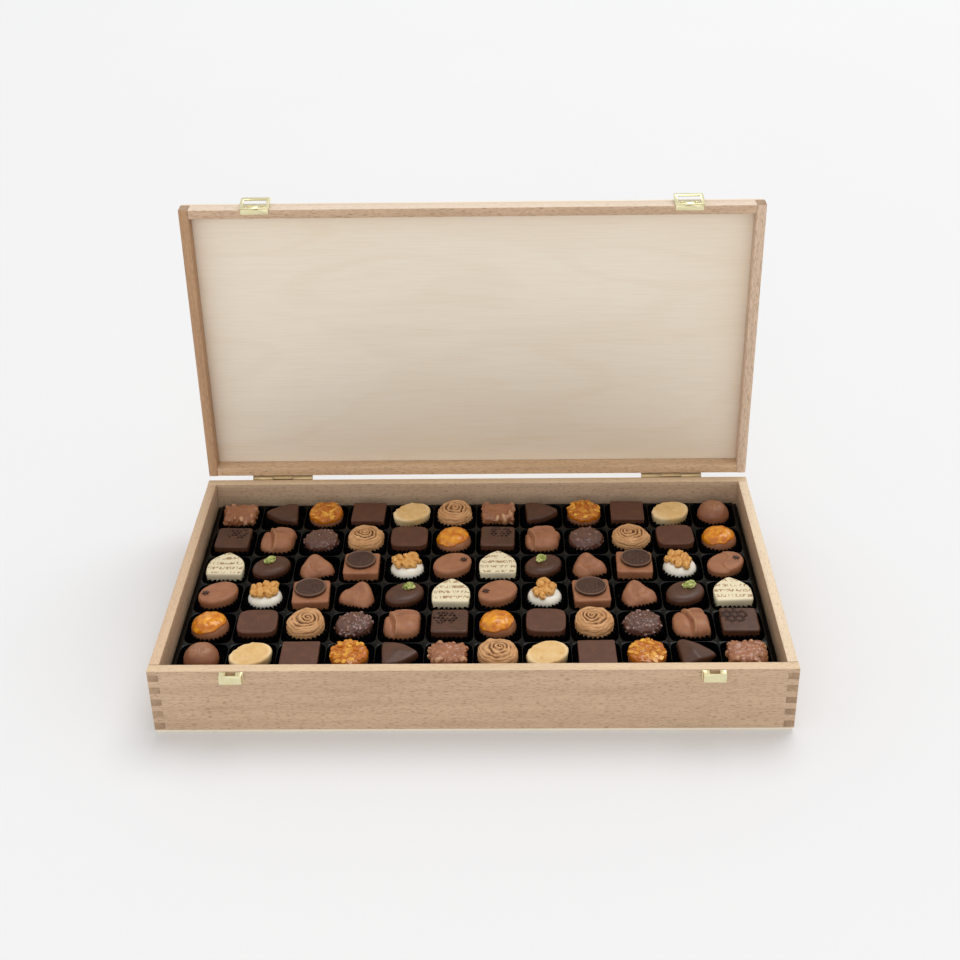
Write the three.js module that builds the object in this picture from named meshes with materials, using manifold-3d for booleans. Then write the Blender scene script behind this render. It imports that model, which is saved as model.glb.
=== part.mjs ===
// A shallow wooden presentation box of chocolate pralines, with its hinged lid standing open.
// Millimetres. The origin is under the middle of the box on the surface it stands on: +X to the
// right, +Y to the hinges at the back, +Z up.
import * as THREE from 'three';
import * as BufferGeometryUtils from 'three/addons/utils/BufferGeometryUtils.js';
import Module from 'manifold-3d';

const wasm = await Module();
wasm.setup();

// Driving dimensions of the box
const BOX_WIDTH = 430;
const BOX_DEPTH = 230;
const WALL_HEIGHT = 50.5;
const WALL_THICKNESS = 7;
const PLY_THICKNESS = 2.5;
const PLY_INSET = 0.6;
const RIM = PLY_THICKNESS + WALL_HEIGHT;
const FIT_GAP = 0.15;

// Finger joints at the corners: the side boards' fingers pass through the front and back boards
const FINGER_COUNT = 5;
const FINGER_HEIGHT = 5;
const FINGER_PITCH = 10.2;
const FIRST_FINGER_BELOW_RIM = 3.4;

// Lid: a low frame of rails under a thin plywood panel
const RAIL_HEIGHT = 10.5;
const LID_THICKNESS = RAIL_HEIGHT + PLY_THICKNESS;
const CLOSED_GAP = 0.6;
const OPEN_ANGLE = 90;

// Butt hinges: the pin stands just behind the back face, level with the closed joint
const PIN_BEHIND = 2;
const PIN_Y = BOX_DEPTH / 2 + PIN_BEHIND;
const PIN_Z = RIM + CLOSED_GAP / 2;
const HINGE_X = 155.7;
const HINGE_LENGTH = 48;
const KNUCKLE_RADIUS = 1.8;
const KNUCKLE_GAP = 0.25;
const KNUCKLE_SIDES = 12;
const LEAF_THICKNESS = 1;
const LEAF_HEIGHT = 12;

// Draw latches: a ring on the lid's front edge drops over a slotted catch on the box
const LATCH_X = 159;
const CATCH = { width: 15, out: 5.5, top: -0.3, bottom: -7.2, edge: 0.8 };
const CATCH_PLATE = { width: 16, thickness: 0.6, bottom: -7.8 };
const CATCH_SLOT = { width: 6.6, out: 4, depth: 4.7 };
const LATCH_PLATE = { width: 20.4, thickness: 0.5, height: 9.4, flangeReach: 3.5, flangeThickness: 0.35 };
const RIVET = { radius: 1.5, height: 0.9, x: 5.2, z: 5.4, sides: 6 };
const RING_PIN = { out: 1.4, up: -0.1, radius: 0.6, sides: 8 };
const CURL = { width: 5.6, outer: 1.2, bore: 0.9, sides: 8 };
const RING = { holeWidth: 16.8, barWidth: 2.5, holeReach: 10.6, reach: 13.6, thickness: 1, corner: 1 };
const RING_REST_TILT = 12;

// Moulded black tray: twelve by six pockets on a skirt that stands on the box's floor
const COLUMNS = 12;
const ROWS = 6;
const CELL = 33.75;
const TRAY_BELOW_RIM = 16;
const TRAY_TOP = RIM - TRAY_BELOW_RIM;
const TRAY_SKIN = 1.2;
const SKIRT_THICKNESS = 2;
const POCKET_DEPTH = 8.6;
const POCKET_SIZE = 30.8;
const POCKET_CORNER = 5;
const POCKET_FLOOR = TRAY_TOP - POCKET_DEPTH;

// How a praline meets its pocket: a loose one stands just clear, a fused one is sunk a little
const LOOSE_LIFT = 0.3;
const FUSED_SINK = 0.3;

const COLOURS = {
  wood: 0xc3a07f,
  plywood: 0xe3d2ba,
  tray: 0x0b0b0d,
  brass: 0xd6cd9c,
  milk: 0x9c6b51,
  tan: 0xc8946a,
  amber: 0xd9892c,
  white: 0xe9e4d2,
};

const material = (colour, roughness, metalness = 0) =>
  new THREE.MeshStandardMaterial({ color: colour, roughness, metalness });

const WOOD = material(COLOURS.wood, 0.6);
const PLYWOOD = material(COLOURS.plywood, 0.6);
const TRAY_PLASTIC = material(COLOURS.tray, 0.25);
const BRASS = material(COLOURS.brass, 0.3, 1);
const MILK = material(COLOURS.milk, 0.4);
const TAN = material(COLOURS.tan, 0.5);
const AMBER = material(COLOURS.amber, 0.2);
const WHITE = material(COLOURS.white, 0.35);

const degrees = (angle) => THREE.MathUtils.degToRad(angle);

// Seeded draws, so that the food is uneven in the same way each time
function drawsFrom(seed) {
  let state = seed;
  return (low, high) => {
    state = (Math.imul(state, 1664525) + 1013904223) >>> 0;
    return low + ((high - low) * state) / 2 ** 32;
  };
}

// Closed meshes: shared vertices merged, and the slivers that a pole leaves taken out
function closed(geometry) {
  const bare = geometry.clone();
  bare.deleteAttribute('normal');
  bare.deleteAttribute('uv');
  const merged = BufferGeometryUtils.mergeVertices(bare, 1e-4);
  const kept = [];
  const corners = merged.index.array;
  for (let first = 0; first < corners.length; first += 3) {
    const [a, b, c] = corners.slice(first, first + 3);
    if (a !== b && b !== c && c !== a) kept.push(a, b, c);
  }
  merged.setIndex(kept);
  return merged;
}

function solidOf(geometry) {
  const tidy = closed(geometry);
  return new wasm.Manifold(
    new wasm.Mesh({
      numProp: 3,
      vertProperties: new Float32Array(tidy.attributes.position.array),
      triVerts: new Uint32Array(tidy.index.array),
    }),
  );
}

function geometryOf(solid) {
  const mesh = solid.getMesh();
  const geometry = new THREE.BufferGeometry();
  geometry.setAttribute('position', new THREE.BufferAttribute(mesh.vertProperties, 3));
  geometry.setIndex(new THREE.BufferAttribute(mesh.triVerts, 1));
  return geometry;
}

const joined = (...geometries) => geometryOf(geometries.map(solidOf).reduce((a, b) => a.add(b)));
const cut = (body, ...tools) =>
  geometryOf(tools.map(solidOf).reduce((left, tool) => left.subtract(tool), solidOf(body)));

function part(name, geometry, finish) {
  const mesh = new THREE.Mesh(geometry, finish);
  mesh.name = name;
  return mesh;
}

// A box given by its lowest and highest corners
function block([x0, y0, z0], [x1, y1, z1]) {
  const geometry = new THREE.BoxGeometry(x1 - x0, y1 - y0, z1 - z0);
  return geometry.translate((x0 + x1) / 2, (y0 + y1) / 2, (z0 + z1) / 2);
}

// A round bar along X, centred on x = 0
function barAlongX(radius, length, sides) {
  return new THREE.CylinderGeometry(radius, radius, length, sides).rotateZ(Math.PI / 2);
}

// A section drawn as [y, z] points and carried along X, centred on x = 0
function alongX(section, length) {
  const shape = new THREE.Shape(section.map(([y, z]) => new THREE.Vector2(y, z)));
  const geometry = new THREE.ExtrudeGeometry(shape, { depth: length, bevelEnabled: false });
  return geometry.translate(0, 0, -length / 2).rotateZ(Math.PI / 2).rotateY(Math.PI / 2);
}

// Box boards
// The face of a board from end to end, with its ends stepped over the height of each finger
function fingeredFace(plainEnd, fingerEnd, slack) {
  const right = [[plainEnd, 0]];
  for (let finger = FINGER_COUNT - 1; finger >= 0; finger--) {
    const top = WALL_HEIGHT - FIRST_FINGER_BELOW_RIM - finger * FINGER_PITCH + slack;
    const foot = top - FINGER_HEIGHT - 2 * slack;
    right.push([plainEnd, foot], [fingerEnd, foot], [fingerEnd, top], [plainEnd, top]);
  }
  right.push([plainEnd, WALL_HEIGHT]);
  const left = right.map(([x, z]) => [-x, z]).reverse();
  return new THREE.Shape([...right, ...left].map(([x, z]) => new THREE.Vector2(x, z)));
}

function board(face) {
  const settings = { depth: WALL_THICKNESS, bevelEnabled: false };
  const centred = new THREE.ExtrudeGeometry(face, settings).translate(0, 0, -WALL_THICKNESS / 2);
  return centred.rotateX(Math.PI / 2);
}

function boxBoards() {
  const group = new THREE.Group();
  const innerX = BOX_WIDTH / 2 - WALL_THICKNESS;
  const innerY = BOX_DEPTH / 2 - WALL_THICKNESS;
  const long = board(fingeredFace(BOX_WIDTH / 2, innerX - FIT_GAP, FIT_GAP));
  const short = board(fingeredFace(innerY - FIT_GAP, BOX_DEPTH / 2, 0)).rotateZ(Math.PI / 2);
  for (const [name, side] of [['box_front', -1], ['box_back', 1]]) {
    const wall = part(name, long, WOOD);
    wall.position.set(0, side * (BOX_DEPTH - WALL_THICKNESS) / 2, PLY_THICKNESS);
    group.add(wall);
  }
  for (const [name, side] of [['box_left', -1], ['box_right', 1]]) {
    const wall = part(name, short, WOOD);
    wall.position.set(side * (BOX_WIDTH - WALL_THICKNESS) / 2, 0, PLY_THICKNESS);
    group.add(wall);
  }
  const halfWidth = BOX_WIDTH / 2 - PLY_INSET;
  const halfDepth = BOX_DEPTH / 2 - PLY_INSET;
  const corner = [halfWidth, halfDepth, PLY_THICKNESS - FIT_GAP];
  group.add(part('box_bottom', block([-halfWidth, -halfDepth, 0], corner), PLYWOOD));
  return group;
}

// Lid, drawn shut in a frame whose origin is the hinge pin, so that turning the group opens it
function lidBoards() {
  const group = new THREE.Group();
  const back = -PIN_BEHIND;
  const front = back - BOX_DEPTH;
  const foot = CLOSED_GAP / 2;
  const railTop = foot + RAIL_HEIGHT;
  const outer = BOX_WIDTH / 2;
  const inner = outer - WALL_THICKNESS;
  const railEnd = inner - FIT_GAP;
  const sides = [
    ['lid_left', [-outer, front, foot], [-inner, back, railTop]],
    ['lid_right', [inner, front, foot], [outer, back, railTop]],
    ['lid_front', [-railEnd, front, foot], [railEnd, front + WALL_THICKNESS, railTop]],
    ['lid_back', [-railEnd, back - WALL_THICKNESS, foot], [railEnd, back, railTop]],
  ];
  for (const [name, low, high] of sides) group.add(part(name, block(low, high), WOOD));
  const panelLow = [-outer, front, railTop + FIT_GAP];
  const panelHigh = [outer, back, foot + LID_THICKNESS];
  group.add(part('lid_panel', block(panelLow, panelHigh), PLYWOOD));
  return group;
}

// Hinges
// One leaf, drawn round its pin and reaching down the back face; the other is its mirror image.
// The knuckles are three: the outer two on the box's leaf, the middle one on the lid's.
function hingeLeaf(knuckles, downwards) {
  const third = HINGE_LENGTH / 3;
  const face = -PIN_BEHIND + FIT_GAP;
  const clear = KNUCKLE_RADIUS + KNUCKLE_GAP;
  const levels = (near, far) => (downwards ? [-far, -near] : [near, far]);
  const [foot, head] = levels(clear, clear + LEAF_HEIGHT);
  const outside = face + LEAF_THICKNESS;
  const pieces = [block([-HINGE_LENGTH / 2, face, foot], [HINGE_LENGTH / 2, outside, head])];
  for (const centre of knuckles) {
    const length = third - KNUCKLE_GAP;
    const [low, high] = levels(0, clear + 1);
    const x = centre * third;
    pieces.push(block([x - length / 2, face, low], [x + length / 2, outside, high]));
    const knuckle = barAlongX(KNUCKLE_RADIUS, length, KNUCKLE_SIDES);
    pieces.push(knuckle.translate(x, 0, 0));
  }
  return joined(...pieces);
}

// Latches
function catchPiece() {
  const { out, top, bottom, edge } = CATCH;
  const section = [
    [-FIT_GAP, top],
    [-FIT_GAP, bottom],
    [edge - out, bottom],
    [-out, bottom + edge],
    [-out, top - edge],
    [edge - out, top],
  ];
  const halfPlate = CATCH_PLATE.width / 2;
  const plateOut = -FIT_GAP - CATCH_PLATE.thickness;
  const plate = block([-halfPlate, plateOut, CATCH_PLATE.bottom], [halfPlate, -FIT_GAP, top]);
  const halfSlot = CATCH_SLOT.width / 2;
  const slot = block([-halfSlot, -CATCH_SLOT.out, top - CATCH_SLOT.depth], [halfSlot, 1, 1]);
  return cut(joined(alongX(section, CATCH.width), plate), slot);
}

// The lid's latch plate lies on the front rail and turns in under its rim face. The curl round
// the ring's pin is in its middle. Here the rim plane is z = 0 and the rail's face is y = 0.
function latchPlate() {
  const { width, thickness, height, flangeReach, flangeThickness } = LATCH_PLATE;
  const outside = -FIT_GAP - thickness;
  const flangeTop = -FIT_GAP / 2;
  const flangeFoot = flangeTop - flangeThickness;
  const section = [
    [outside, flangeFoot],
    [flangeReach, flangeFoot],
    [flangeReach, flangeTop],
    [-FIT_GAP, flangeTop],
    [-FIT_GAP, height],
    [outside, height],
  ];
  const curl = barAlongX(CURL.outer, CURL.width, CURL.sides);
  const rivets = [-RIVET.x, RIVET.x].map((x) => {
    const rivet = new THREE.CylinderGeometry(RIVET.radius, RIVET.radius, RIVET.height, RIVET.sides);
    return rivet.translate(x, outside - RIVET.height / 2 + thickness / 2, RIVET.z);
  });
  const body = joined(
    alongX(section, width),
    curl.translate(0, -RING_PIN.out, RING_PIN.up),
    ...rivets,
  );
  const bore = barAlongX(CURL.bore, CURL.width + 2, CURL.sides);
  return cut(body, bore.translate(0, -RING_PIN.out, RING_PIN.up));
}

// The ring, drawn round its pin and reaching along +Z, as it lies folded back with no tilt
function latchRing() {
  const { holeWidth, barWidth, holeReach, reach, thickness, corner } = RING;
  const half = holeWidth / 2 + barWidth;
  const outline = [
    [-half, 0],
    [half, 0],
    [half, reach - corner],
    [half - corner, reach],
    [corner - half, reach],
    [-half, reach - corner],
  ];
  const shape = new THREE.Shape(outline.map(([x, z]) => new THREE.Vector2(x, z)));
  const sheet = new THREE.ExtrudeGeometry(shape, { depth: thickness, bevelEnabled: false });
  const plate = sheet.translate(0, 0, -thickness / 2).rotateX(Math.PI / 2);
  const hole = block([-holeWidth / 2, -thickness, -thickness], [holeWidth / 2, thickness, holeReach]);
  const pin = barAlongX(RING_PIN.radius, 2 * half, RING_PIN.sides);
  return joined(cut(plate, hole), pin);
}

// Outlines of the pralines, each a list of points anticlockwise round the middle
function ovalOutline(halfLength, halfWidth, turn, count) {
  return Array.from({ length: count }, (_, step) => {
    const angle = (2 * Math.PI * step) / count;
    const point = new THREE.Vector2(halfLength * Math.cos(angle), halfWidth * Math.sin(angle));
    return point.rotateAround(new THREE.Vector2(), degrees(turn));
  });
}

// A polygon of [x, y, corner radius] corners with each corner rounded in so many steps
function roundedOutline(corners, steps) {
  const points = [];
  corners.forEach(([x, y, radius], index) => {
    const here = new THREE.Vector2(x, y);
    const neighbours = [corners.at(index - 1), corners[(index + 1) % corners.length]];
    const [before, after] = neighbours.map(([nx, ny]) => new THREE.Vector2(nx, ny).sub(here).normalize());
    const half = Math.acos(before.dot(after)) / 2;
    const from = here.clone().addScaledVector(before, radius / Math.tan(half));
    const to = here.clone().addScaledVector(after, radius / Math.tan(half));
    for (let step = 0; step <= steps; step++) {
      const share = step / steps;
      const low = from.clone().lerp(here, share);
      points.push(low.lerp(here.clone().lerp(to, share), share));
    }
  });
  return points;
}

const rectangleOutline = (width, depth, radius, steps) => {
  const [x, y] = [width / 2, depth / 2];
  return roundedOutline([[x, -y, radius], [x, y, radius], [-x, y, radius], [-x, -y, radius]], steps);
};

// A moulded sweet: the profile's [share of the outline, height] pairs run from the middle of the
// base to the middle of the top. Shaping moves each point of the skin, and is given a draw of its
// own for it, from -1 to 1.
function moulded(outline, profile, shaping = () => {}, draw = () => 0) {
  const lathe = profile.map(([share, height]) => new THREE.Vector2(share, height));
  const draws = outline.map(() => profile.map(() => draw(-1, 1)));
  const geometry = new THREE.LatheGeometry(lathe, outline.length);
  const skin = geometry.attributes.position;
  const point = new THREE.Vector3();
  for (let index = 0; index < skin.count; index++) {
    const around = Math.floor(index / profile.length) % outline.length;
    const ring = index % profile.length;
    const [share, height] = profile[ring];
    point.set(outline[around].x * share, outline[around].y * share, height);
    const angle = Math.atan2(outline[around].y, outline[around].x);
    if (share > 0) shaping(point, { share, angle, around, uneven: draws[around][ring] });
    skin.setXYZ(index, point.x, point.y, point.z);
  }
  return geometry;
}

// A flat-topped sweet with drafted sides and a small edge
const flatProfile = (height, foot = 0.92, edge = 0.95) => [
  [0, 0],
  [foot, 0],
  [1, height - 1],
  [edge, height],
  [0, height],
];

// A low crowned sweet
const crownedProfile = (height) => [
  [0, 0],
  [0.84, 0],
  [1, 0.5 * height],
  [0.94, 0.82 * height],
  [0.6, 0.97 * height],
  [0, height],
];

// A small irregular nut piece
function nut(radius, x, y, z, draw) {
  const lump = new THREE.IcosahedronGeometry(radius, 0);
  lump.scale(draw(0.8, 1.3), draw(0.8, 1.2), draw(0.7, 1)).rotateZ(draw(0, Math.PI));
  return lump.translate(x, y, z);
}

// Pralines: each is made round its own middle, standing on z = 0
const PRALINES = {
  // Block of milk chocolate, rough with chopped nuts on its top and upper sides
  hazelnut: {
    finish: MILK,
    make(draw) {
      const [width, depth, height] = [24.6, 20.6, 14.5];
      const body = moulded(rectangleOutline(width, depth, 3, 1), flatProfile(height, 0.94, 0.93));
      const spots = [[-8.4, 6], [-1, 6.5], [7.6, 6], [-4, -1], [5, -1.5], [-8.4, -7], [8.4, -7]];
      return joined(body, ...spots.map(([x, y]) => nut(draw(2.5, 3.2), x, y, height - 0.4, draw)));
    },
  },
  // Round disc of caramelised almond flakes on a chocolate base
  florentine: {
    finish: AMBER,
    make(draw) {
      const profile = [[0, 0], [0.86, 0], [1, 11.4], [1, 15], [0.62, 16.2], [0, 16.4]];
      const flakes = (point, { uneven }) => {
        if (point.z > 10) point.z += 0.7 * uneven;
      };
      return moulded(ovalOutline(13.8, 13.5, 0, 16), profile, flakes, draw);
    },
  },
  // Piped rosette: three ridges round a raised middle
  swirl: {
    finish: TAN,
    make(draw) {
      const profile = [
        [0, 0], [0.84, 0], [1, 9.5], [0.98, 14.8], [0.85, 16.6], [0.72, 15.8], [0.56, 17.6],
        [0.42, 16.8], [0.22, 18.4], [0, 17.6],
      ];
      const piping = (point, { share, angle, uneven }) => {
        if (share > 0.1 && share < 0.9 && point.z > 10) point.z += 0.5 * Math.sin(angle) + 0.2 * uneven;
      };
      return moulded(ovalOutline(14.2, 13.6, 20, 12), profile, piping, draw);
    },
  },
  // Small dome of milk chocolate
  dome: {
    finish: MILK,
    make() {
      const profile = [[0, 0], [0.86, 0], [1, 7], [0.94, 12], [0.74, 16.2], [0.38, 18.8], [0, 19.4]];
      return moulded(ovalOutline(12.4, 12.4, 0, 14), profile);
    },
  },
  // Milk chocolate poured over so that two folds lean to a crest at the left
  fold: {
    finish: MILK,
    make() {
      const profile = [[0, 0], [0.84, 0], [1, 5], [0.97, 12], [0.68, 16.6], [0, 17.4]];
      return moulded(ovalOutline(13.8, 13.2, 0, 16), profile, (point, { angle }) => {
        if (point.z < 3) return;
        const crease = Math.exp(-(((angle + 1.9) / 0.35) ** 2));
        const squareness = 1 - 0.04 * Math.cos(4 * angle);
        const pinch = squareness * (1 - 0.12 * crease);
        point.x *= pinch;
        point.y *= pinch;
      });
    },
  },
  // Milk chocolate dome under an orange glaze
  orange: {
    finish: AMBER,
    make(draw) {
      const profile = [[0, 0], [0.84, 0], [1, 7], [0.94, 12], [0.66, 16.4], [0.3, 18.1], [0, 18.4]];
      const glaze = (point, { uneven }) => {
        if (point.z > 12) point.z += 0.35 * uneven;
      };
      return moulded(ovalOutline(13.5, 12.7, 10, 14), profile, glaze, draw);
    },
  },
  // Three soft peaks of milk chocolate leaning together
  peaks: {
    finish: MILK,
    make() {
      const outline = ovalOutline(13.6, 12, 0, 18);
      const profile = [[0, 0], [0.88, 0], [1, 6], [0.92, 11.5], [0.56, 16.6], [0, 18.2]];
      return moulded(outline, profile, (point, { share, angle }) => {
        if (point.z < 2) return;
        const lobe = 1 + 0.12 * Math.cos(3 * (angle - Math.PI / 2));
        point.x *= lobe;
        point.y *= lobe;
        point.z += 1.1 * Math.cos(3 * (angle - Math.PI / 2)) * share;
      });
    },
  },
  // Square of milk chocolate that carries a dark oval disc with a raised rim
  disc: {
    finish: MILK,
    make() {
      const body = moulded(rectangleOutline(26.6, 25.4, 1.6, 1), flatProfile(14.4, 0.93, 0.96));
      const profile = [[0, 0], [0.94, 0], [1, 2.6], [0.9, 2.6], [0.84, 1.8], [0, 1.8]];
      const disc = moulded(ovalOutline(11.7, 10.7, 0, 12), profile);
      return joined(body, disc.translate(-0.6, 2, 14));
    },
  },
  // White oval that carries half a walnut
  walnut: {
    finish: WHITE,
    make(draw) {
      const body = moulded(ovalOutline(12.8, 11.6, 0, 12), crownedProfile(13.4));
      const profile = [[0, 0], [1, 0.4], [0.9, 3.4], [0.5, 5.4], [0, 4]];
      const lobes = (point, { around, uneven }) => {
        point.multiplyScalar(around % 2 ? 0.86 : 1.04);
        if (point.z > 1) point.z += 0.3 * uneven;
      };
      const kernel = moulded(ovalOutline(11.2, 8.8, 25, 10), profile, lobes, draw);
      return joined(body, kernel.translate(0, 1.8, 12.4));
    },
  },
  // Rounded triangle of dark chocolate with its point to one side
  triangle: {
    make() {
      const corners = [[-14.6, 0.5, 2.4], [-2, -10.4, 4], [11, -12.6, 4], [13, 12.6, 5], [-2, 10.8, 4]];
      const profile = [[0, 0], [0.9, 0], [1, 11], [0.93, 14.2], [0, 15.2]];
      return moulded(roundedOutline(corners, 2), profile);
    },
  },
  // Plain square of dark chocolate
  square: {
    make: () => moulded(rectangleOutline(26, 25.4, 1, 1), flatProfile(13.8, 0.95, 0.97)),
  },
  // Dark square with a pressed pattern of small cells
  textured: {
    make: () => moulded(rectangleOutline(26.2, 25.2, 2.4, 1), flatProfile(14.4, 0.94, 0.96)),
  },
  // Dark square with bowed sides and round corners
  rounded: {
    make: () => moulded(rectangleOutline(28.4, 25.8, 7, 2), flatProfile(14.6, 0.93, 0.95)),
  },
  // Oval of dark chocolate rough with small chips
  rough: {
    make(draw) {
      const chips = (point, { uneven }) => {
        if (point.z > 4) point.z += 0.4 * uneven;
      };
      return moulded(ovalOutline(13.9, 12.4, 12, 12), crownedProfile(16.4), chips, draw);
    },
  },
  // Dark crowned oval with a green nut near its top
  pistachio: {
    make(draw) {
      const body = moulded(ovalOutline(15.2, 11.6, 22, 12), crownedProfile(14.8));
      return joined(body, nut(2.8, 1, 3.4, 14.8, draw));
    },
  },
  // Flat golden oval with a ragged edge
  blonde: {
    make(draw) {
      const ragged = (point, { uneven }) => {
        if (point.z > 8) point.x += 0.3 * uneven;
      };
      return moulded(ovalOutline(15.3, 11.6, 26, 14), flatProfile(14, 0.86, 0.93), ragged, draw);
    },
  },
  // White praline with a straight front and a back like a pointed arch
  heart: {
    make() {
      const corners = [[14.4, -12, 1.6], [14, 0, 9], [0.5, 15.4, 6], [-14, 0, 9], [-14.4, -12, 1.6]];
      return moulded(roundedOutline(corners, 2), flatProfile(14, 0.9, 0.96));
    },
  },
  // Milk chocolate oval with a small dark star at one end
  star: {
    make() {
      const body = moulded(ovalOutline(15.2, 11.5, 25, 14), flatProfile(15, 0.86, 0.96));
      const mark = new THREE.CylinderGeometry(1.9, 2.3, 1.6, 5).rotateX(Math.PI / 2);
      return joined(body, mark.translate(-8.4, -2, 15.2));
    },
  },
};

// The back three rows; the front three are the same turned half round, read from the far end
const BACK_ROWS = [
  'hazelnut triangle florentine square blonde swirl hazelnut triangle florentine square blonde dome',
  'textured fold rough swirl rounded orange textured fold rough swirl rounded orange',
  'heart pistachio peaks disc walnut star heart pistachio peaks disc walnut star',
].map((row) => row.split(' '));
const LAYOUT = [...BACK_ROWS, ...BACK_ROWS.map((row) => [...row].reverse()).reverse()];
const TURNED_ROUND = ['r1c8', 'r6c5', 'r6c11', 'r3c6', 'r3c12'];
const MAX_TURN = 3;
const MAX_SHIFT = 0.25;
const SIZE_SPREAD = 0.015;

// Every praline in its cell: what it is, where it stands, and its shape already there
function placedPralines() {
  const placed = [];
  LAYOUT.forEach((kinds, row) => {
    kinds.forEach((kind, column) => {
      const seat = `r${row + 1}c${column + 1}`;
      const draw = drawsFrom(97 * (row + 1) + 13 * (column + 1));
      const { make, finish } = PRALINES[kind];
      const geometry = make(draw);
      if (TURNED_ROUND.includes(seat)) geometry.rotateZ(Math.PI);
      const size = draw(1 - SIZE_SPREAD, 1 + SIZE_SPREAD);
      geometry.scale(size, size, size).rotateZ(degrees(draw(-MAX_TURN, MAX_TURN)));
      const x = (column - (COLUMNS - 1) / 2) * CELL + draw(-MAX_SHIFT, MAX_SHIFT);
      const y = ((ROWS - 1) / 2 - row) * CELL + draw(-MAX_SHIFT, MAX_SHIFT);
      const foot = POCKET_FLOOR + (finish ? LOOSE_LIFT : -FUSED_SINK);
      placed.push({ name: `${kind}_${seat}`, geometry: geometry.translate(x, y, foot), finish });
    });
  });
  return placed;
}

// Tray
function traySlab() {
  const halfWidth = BOX_WIDTH / 2 - WALL_THICKNESS - 2 * FIT_GAP;
  const halfDepth = BOX_DEPTH / 2 - WALL_THICKNESS - 2 * FIT_GAP;
  const foot = PLY_THICKNESS;
  const slab = block([-halfWidth, -halfDepth, foot], [halfWidth, halfDepth, TRAY_TOP]);
  const [insideX, insideY] = [halfWidth - SKIRT_THICKNESS, halfDepth - SKIRT_THICKNESS];
  const underside = POCKET_FLOOR - TRAY_SKIN;
  return cut(slab, block([-insideX, -insideY, foot - 1], [insideX, insideY, underside]));
}

function pocket(row, column) {
  const outline = new THREE.Shape(rectangleOutline(POCKET_SIZE, POCKET_SIZE, POCKET_CORNER, 1));
  const tool = new THREE.ExtrudeGeometry(outline, { depth: POCKET_DEPTH + 1, bevelEnabled: false });
  const x = (column - (COLUMNS - 1) / 2) * CELL;
  const y = ((ROWS - 1) / 2 - row) * CELL;
  return tool.translate(x, y, POCKET_FLOOR);
}

function tray(fusedPralines) {
  const pockets = [];
  for (let row = 0; row < ROWS; row++) {
    for (let column = 0; column < COLUMNS; column++) pockets.push(solidOf(pocket(row, column)));
  }
  const bare = solidOf(traySlab()).subtract(wasm.Manifold.union(pockets));
  const filled = wasm.Manifold.union([bare, ...fusedPralines.map(({ geometry }) => solidOf(geometry))]);
  return geometryOf(filled);
}

// Assembly
const box = new THREE.Group();
box.add(boxBoards());

const pralines = placedPralines();
box.add(part('tray', tray(pralines.filter(({ finish }) => !finish)), TRAY_PLASTIC));
for (const { name, geometry, finish } of pralines.filter(({ finish }) => finish)) {
  box.add(part(name, geometry, finish));
}

const lid = new THREE.Group();
lid.position.set(0, PIN_Y, PIN_Z);
lid.rotation.x = -degrees(OPEN_ANGLE);
lid.add(lidBoards());

const boxLeaf = hingeLeaf([-1, 1], true);
const lidLeaf = hingeLeaf([0], false);
const latchFace = -PIN_BEHIND - BOX_DEPTH;
for (const [side, sign] of [['left', -1], ['right', 1]]) {
  const lower = part(`hinge_box_${side}`, boxLeaf, BRASS);
  lower.position.set(sign * HINGE_X, PIN_Y, PIN_Z);
  const upper = part(`hinge_lid_${side}`, lidLeaf, BRASS);
  upper.position.set(sign * HINGE_X, 0, 0);
  const catcher = part(`catch_${side}`, catchPiece(), BRASS);
  catcher.position.set(sign * LATCH_X, -BOX_DEPTH / 2, RIM);
  const plate = part(`latch_plate_${side}`, latchPlate(), BRASS);
  plate.position.set(sign * LATCH_X, latchFace, CLOSED_GAP / 2);
  const ring = part(`latch_ring_${side}`, latchRing(), BRASS);
  ring.position.set(sign * LATCH_X, latchFace - RING_PIN.out, CLOSED_GAP / 2 + RING_PIN.up);
  ring.rotation.x = degrees(RING_REST_TILT);
  box.add(lower, catcher);
  lid.add(upper, plate, ring);
}

const model = new THREE.Group();
model.add(box, lid);

export default model;
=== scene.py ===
"""A shallow wooden presentation box of chocolate pralines, with its hinged lid standing open.

Sizes in the classes are millimetres in the frame's axes: +X to the right, +Y to the hinges and +Z
up. A piece is turned to metres when it is finished.
"""

import logging
import math
import random
from dataclasses import dataclass, field
from enum import Enum
from typing import Callable, ClassVar, Iterable, Sequence

import bmesh
import bpy
from bmesh.types import BMEdge, BMVert
from mathutils import Matrix, Vector, noise


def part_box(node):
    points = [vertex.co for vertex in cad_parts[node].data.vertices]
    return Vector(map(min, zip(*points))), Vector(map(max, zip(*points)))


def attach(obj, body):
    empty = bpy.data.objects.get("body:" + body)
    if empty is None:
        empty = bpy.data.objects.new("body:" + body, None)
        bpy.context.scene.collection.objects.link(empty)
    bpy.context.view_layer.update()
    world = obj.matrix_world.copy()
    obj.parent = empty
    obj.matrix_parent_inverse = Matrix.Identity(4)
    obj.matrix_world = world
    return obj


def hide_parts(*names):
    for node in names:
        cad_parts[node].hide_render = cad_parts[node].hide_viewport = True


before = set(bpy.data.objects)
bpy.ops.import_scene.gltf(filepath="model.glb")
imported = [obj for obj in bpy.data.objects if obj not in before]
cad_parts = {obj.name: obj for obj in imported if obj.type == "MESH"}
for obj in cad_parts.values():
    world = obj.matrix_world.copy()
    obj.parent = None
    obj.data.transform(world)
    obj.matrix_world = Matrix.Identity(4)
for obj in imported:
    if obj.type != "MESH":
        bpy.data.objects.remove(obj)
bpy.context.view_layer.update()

LOG = logging.getLogger("praline_box")
MM = 0.001
Outline = Callable[[float], float]
Socket = bpy.types.NodeSocket
Sockets = dict[str | int, object]
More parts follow.
